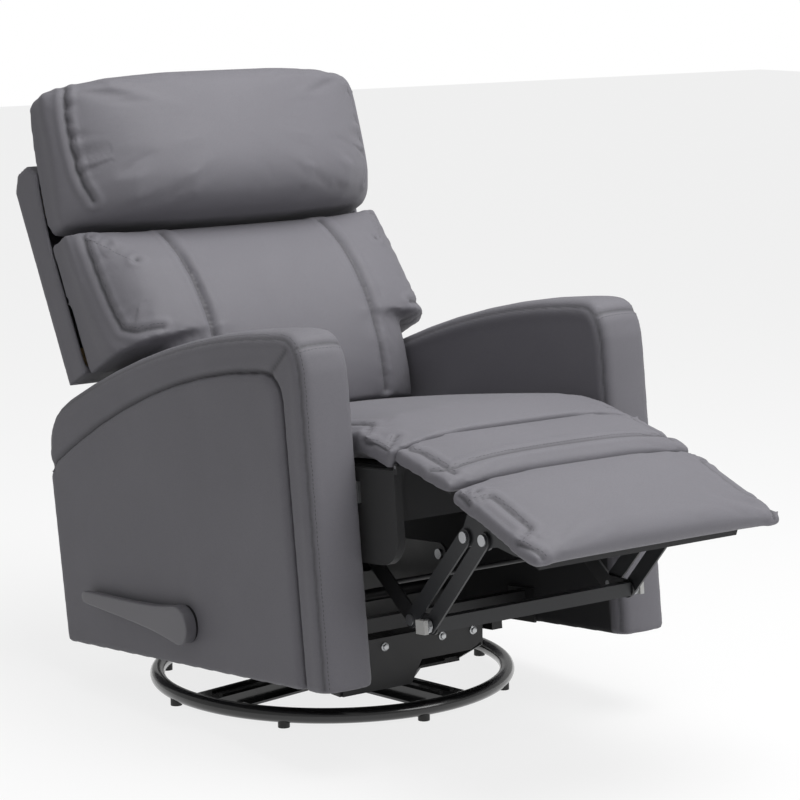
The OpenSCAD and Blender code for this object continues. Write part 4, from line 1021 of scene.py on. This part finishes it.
class RECLINER_OT_handle(bpy.types.Operator):
    """Pull handle: a bevelled hub that runs out into a tapering lever"""
    bl_idname = "recliner.handle"
    bl_label = "Pull Handle"

    def execute(self, context):
        bpy.ops.object.select_all(action="DESELECT")
        bpy.ops.mesh.primitive_cylinder_add(vertices=16, radius=33 * MM, depth=22 * MM,
                                            rotation=(0, math.pi / 2, 0))
        piece = context.active_object
        piece.name = "handle_lever_moulded"
        bpy.ops.object.transform_apply(location=True, rotation=True, scale=True)
        mode("EDIT")
        form = bmesh.from_edit_mesh(piece.data)
        bpy.ops.mesh.select_all(action="DESELECT")
        bpy.context.tool_settings.mesh_select_mode = (False, False, True)
        for face in form.faces:
            face.select = face.normal.y > 0.55
        bmesh.update_edit_mesh(piece.data)
        for share, run in ((0.70, 60), (0.78, 90), (0.78, 90), (0.86, 60)):
            bpy.ops.mesh.extrude_region_move(TRANSFORM_OT_translate={"value": (0, run * MM, 0)})
            bpy.ops.transform.resize(value=(0.94, 1, share))
        bpy.ops.mesh.select_all(action="SELECT")
        bpy.ops.mesh.normals_make_consistent(inside=False)
        mode("OBJECT")
        co = places(piece)
        tip = co[:, 1] > 290 * MM
        co[tip, 1] = 290 * MM + (co[tip, 1] - 290 * MM) * 0.6
        lever = np.clip((co[:, 1] - 25 * MM) / (60 * MM), 0, 1)
        co[:, 0] = co[:, 0] * (1 - 0.25 * lever) + 2.0 * MM * lever
        co[:, 2] += HANDLE_RISE * MM * co[:, 1] / (HANDLE_LEN * MM)
        q = np.stack([-(HANDLE_X + 11) - co[:, 0] / MM, HANDLE_AT[0] + co[:, 1] / MM,
                      HANDLE_AT[1] + co[:, 2] / MM], axis=1)
        move_to(piece, row_places(q))
        activate(piece)
        mode("EDIT")
        bpy.ops.mesh.select_all(action="SELECT")
        bpy.ops.mesh.normals_make_consistent(inside=False)
        mode("OBJECT")
        apply_modifier(piece, "BEVEL", width=0.004, segments=2, limit_method="ANGLE", angle_limit=math.radians(50))
        apply_modifier(piece, "SUBSURF", levels=2, render_levels=2)
        finish(piece, "handle", "handle_plastic")
        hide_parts("handle_lever")
        return {"FINISHED"}


class RECLINER_OT_fasteners(bpy.types.Operator):
    """Bolts of the base hub and swivel plate"""
    bl_idname = "recliner.fasteners"
    bl_label = "Fasteners"

    def execute(self, context):
        spots = {
            "base": [((ROW_X + 58 * math.cos(a), ROW_Y + 58 * math.sin(a), 37.0), (0, 0, 1))
                     for a in (0.95, 2.52, 4.09, 5.66)],
            "swivel": [((ROW_X + x, ROW_Y - 242.0, z), (0, -1, 0)) for x, z in
                       ((-126, 118), (-126, 70), (-60, 118), (126, 118), (60, 118))],
        }
        for body, places_of in spots.items():
            bolts = [self.bolt(Vector(place) * MM, Vector(out)) for place, out in places_of]
            activate(bolts[0])
            for bolt in bolts:
                bolt.select_set(True)
            bpy.ops.object.join()
            bolts[0].name = f"{body}_bolts"
            finish(bolts[0], body, "zinc_plate")
        return {"FINISHED"}

    def bolt(self, place, out):
        """Hexagon head with a washer under it, standing on a face."""
        bpy.ops.object.select_all(action="DESELECT")
        bpy.ops.mesh.primitive_cylinder_add(vertices=24, radius=7.5 * MM, depth=1.4 * MM, location=(0, 0, 0.7 * MM))
        washer = bpy.context.active_object
        mode("EDIT")
        bpy.ops.mesh.bevel(offset=0.3 * MM, segments=1)
        mode("OBJECT")
        bpy.ops.object.select_all(action="DESELECT")
        bpy.ops.mesh.primitive_cylinder_add(vertices=6, radius=5.4 * MM, depth=4 * MM, location=(0, 0, 3.4 * MM))
        head = bpy.context.active_object
        mode("EDIT")
        bpy.ops.mesh.bevel(offset=0.5 * MM, segments=2)
        mode("OBJECT")
        washer.select_set(True)
        bpy.ops.object.join()
        head.matrix_world = Matrix.Translation(place) @ out.to_track_quat("Z", "Y").to_matrix().to_4x4() \
            @ head.matrix_world
        bpy.ops.object.transform_apply(location=True, rotation=True, scale=True)
        return head


class RECLINER_OT_stage(bpy.types.Operator):
    """Pale floor, soft lamps and the camera"""
    bl_idname = "recliner.stage"
    bl_label = "Studio"

    def execute(self, context):
        studio = context.scene.recliner_studio
        self.floor()
        self.world(studio.fill)
        aim = Vector((0, 0, 0.45))
        self.lamp("overhead_lamp", Vector((0.5, -0.7, 3.2)), aim, 2.6, studio.key)
        self.lamp("front_lamp", Vector((1.6, -3.6, 2.2)), aim, 2.2, studio.side)
        self.camera(studio)
        context.scene.view_settings.view_transform = "Standard"
        return {"FINISHED"}

    def floor(self):
        bpy.ops.object.select_all(action="DESELECT")
        bpy.ops.mesh.primitive_plane_add(size=30, location=(0, 0, 0))
        floor = bpy.context.active_object
        floor.name = "studio_floor"
        mode("EDIT")
        bpy.ops.mesh.subdivide(number_cuts=3)
        mode("OBJECT")
        material = bpy.data.materials.new("pale_floor")
        material.use_nodes = True
        tree = material.node_tree
        shader = tree.nodes["Principled BSDF"]
        shader.inputs["Base Color"].default_value = (0.80, 0.80, 0.80, 1)
        shader.inputs["Roughness"].default_value = 0.7
        shader.inputs["Specular IOR Level"].default_value = 0.1
        white = tree.nodes.new("ShaderNodeEmission")
        white.inputs["Color"].default_value = (1, 1, 1, 1)
        rays = tree.nodes.new("ShaderNodeLightPath")
        seen = math_node(tree, "MAXIMUM", rays.outputs["Is Camera Ray"],
                         math_node(tree, "MAXIMUM", rays.outputs["Is Glossy Ray"],
                                   rays.outputs["Is Transmission Ray"]))
        share = math_node(tree, "MULTIPLY", seen, 0.80)
        mix = tree.nodes.new("ShaderNodeMixShader")
        tree.links.new(share, mix.inputs[0])
        tree.links.new(shader.outputs[0], mix.inputs[1])
        tree.links.new(white.outputs[0], mix.inputs[2])
        tree.links.new(mix.outputs[0], tree.nodes["Material Output"].inputs["Surface"])
        floor.data.materials.append(material)

    def world(self, strength):
        world = bpy.data.worlds.new("studio")
        bpy.context.scene.world = world
        world.use_nodes = True
        tree = world.node_tree
        soft = tree.nodes["Background"]
        soft.inputs["Color"].default_value = (1, 1, 1, 1)
        soft.inputs["Strength"].default_value = strength
        white = tree.nodes.new("ShaderNodeBackground")
        white.inputs["Color"].default_value = (1, 1, 1, 1)
        white.inputs["Strength"].default_value = 1.0
        rays = tree.nodes.new("ShaderNodeLightPath")
        mix = tree.nodes.new("ShaderNodeMixShader")
        tree.links.new(rays.outputs["Is Camera Ray"], mix.inputs[0])
        tree.links.new(soft.outputs[0], mix.inputs[1])
        tree.links.new(white.outputs[0], mix.inputs[2])
        tree.links.new(mix.outputs[0], tree.nodes["World Output"].inputs["Surface"])

    def lamp(self, name, place, aim, size, power):
        data = bpy.data.lights.new(name, "AREA")
        data.shape = "DISK"
        data.size = size
        data.energy = power
        lamp = link(name, data)
        lamp.location = place
        lamp.rotation_euler = (aim - place).to_track_quat("-Z", "Y").to_euler()

    def camera(self, studio):
        turn, rise, roll = (math.radians(a) for a in (studio.azimuth, studio.elevation, studio.roll))
        back = Vector((math.sin(turn) * math.cos(rise), -math.cos(turn) * math.cos(rise), math.sin(rise)))
        right = (-back).cross(Vector((0, 0, 1))).normalized()
        up = right.cross(-back)
        across = right * math.cos(roll) + up * math.sin(roll)
        above = up * math.cos(roll) - right * math.sin(roll)
        data = bpy.data.cameras.new("photo_camera")
        data.lens = studio.lens
        data.sensor_width = 36
        data.clip_end = 60
        camera = link("photo_camera", data)
        matrix = Matrix((across, above, back)).transposed().to_4x4()
        matrix.translation = Vector(studio.place)
        camera.matrix_world = matrix
        bpy.context.scene.camera = camera


# Side view of the arm's outer line and of its side panel, in the leaning body
def arm_edge():
    """Outer line of the arm from the front's foot over the nose and down to the rear."""
    line = [(ARM_FRONT + 10 * i / 8, ARM_LOW + 468 * i / 8) for i in range(9)]
    for angle in range(9, 90, 9):
        a = math.radians(angle)
        line.append((-490 + 60 * (1 - math.cos(a) ** 0.8), 558 + 92 * math.sin(a) ** 0.8))
    line += [(-403 + 661 * i / 14, 650 - 158 * (661 * i / 14 / 737) ** 1.9) for i in range(15)]
    y, z = line[-1]
    for angle in range(70, -1, -14):
        a = math.radians(angle)
        line.append((y + 76 * math.cos(a), z - 8 - 76 * (1 - math.sin(a))))
    return line


def panel_edge():
    """Outline of the inset side panel."""
    line = [(-440, 92)]
    for angle in range(0, 91, 15):
        a = math.radians(angle)
        line.append((-428 + 44 * (1 - math.cos(a)), 587 - 44 * (1 - math.sin(a))))
    line += [(-370 + 695 * i / 12, 587 - 186 * (i / 12) ** 1.9) for i in range(1, 13)]
    line.append((306, 92))
    return line


ARM_EDGE = arm_edge()
PANEL_EDGE = panel_edge()
ARM_NOSE = (-486 + 60 * (1 - math.cos(math.radians(45)) ** 0.8), 558 + 92 * math.sin(math.radians(45)) ** 0.8)


class RECLINER_PT_panel(bpy.types.Panel):
    """Lists the recliner's pieces and settings"""
    bl_idname = "RECLINER_PT_panel"
    bl_label = "Recliner"
    bl_space_type = "VIEW_3D"
    bl_region_type = "UI"
    bl_category = "Recliner"

    def draw(self, context):
        for group in ("recliner_leather", "recliner_stitching", "recliner_padding", "recliner_studio"):
            settings = getattr(context.scene, group)
            box = self.layout.box()
            for key in settings.bl_rna.properties.keys():
                if key not in ("rna_type", "name"):
                    box.prop(settings, key)
        for operator in OPERATORS:
            self.layout.operator(operator.bl_idname)


OPERATORS = (RECLINER_OT_materials, RECLINER_OT_mechanism, RECLINER_OT_seat_cushion, RECLINER_OT_flap_cushion,
             RECLINER_OT_footrest_cushion, RECLINER_OT_lumbar_cushion, RECLINER_OT_head_pillow,
             RECLINER_OT_arms, RECLINER_OT_back_cover, RECLINER_OT_handle, RECLINER_OT_fasteners,
             RECLINER_OT_stage)
SETTINGS = (("recliner_leather", ReclinerLeather), ("recliner_stitching", ReclinerStitching),
            ("recliner_padding", ReclinerPadding), ("recliner_studio", ReclinerStudio))


def register():
    for name, group in SETTINGS:
        bpy.utils.register_class(group)
        setattr(bpy.types.Scene, name, bpy.props.PointerProperty(type=group))
    for operator in OPERATORS:
        bpy.utils.register_class(operator)
    bpy.utils.register_class(RECLINER_PT_panel)


def unregister():
    bpy.utils.unregister_class(RECLINER_PT_panel)
    for operator in reversed(OPERATORS):
        bpy.utils.unregister_class(operator)
    for name, group in reversed(SETTINGS):
        delattr(bpy.types.Scene, name)
        bpy.utils.unregister_class(group)


def main():
    register()
    for operator in OPERATORS:
        group, name = operator.bl_idname.split(".")
        getattr(getattr(bpy.ops, group), name)()


if __name__ == "__main__":
    main()
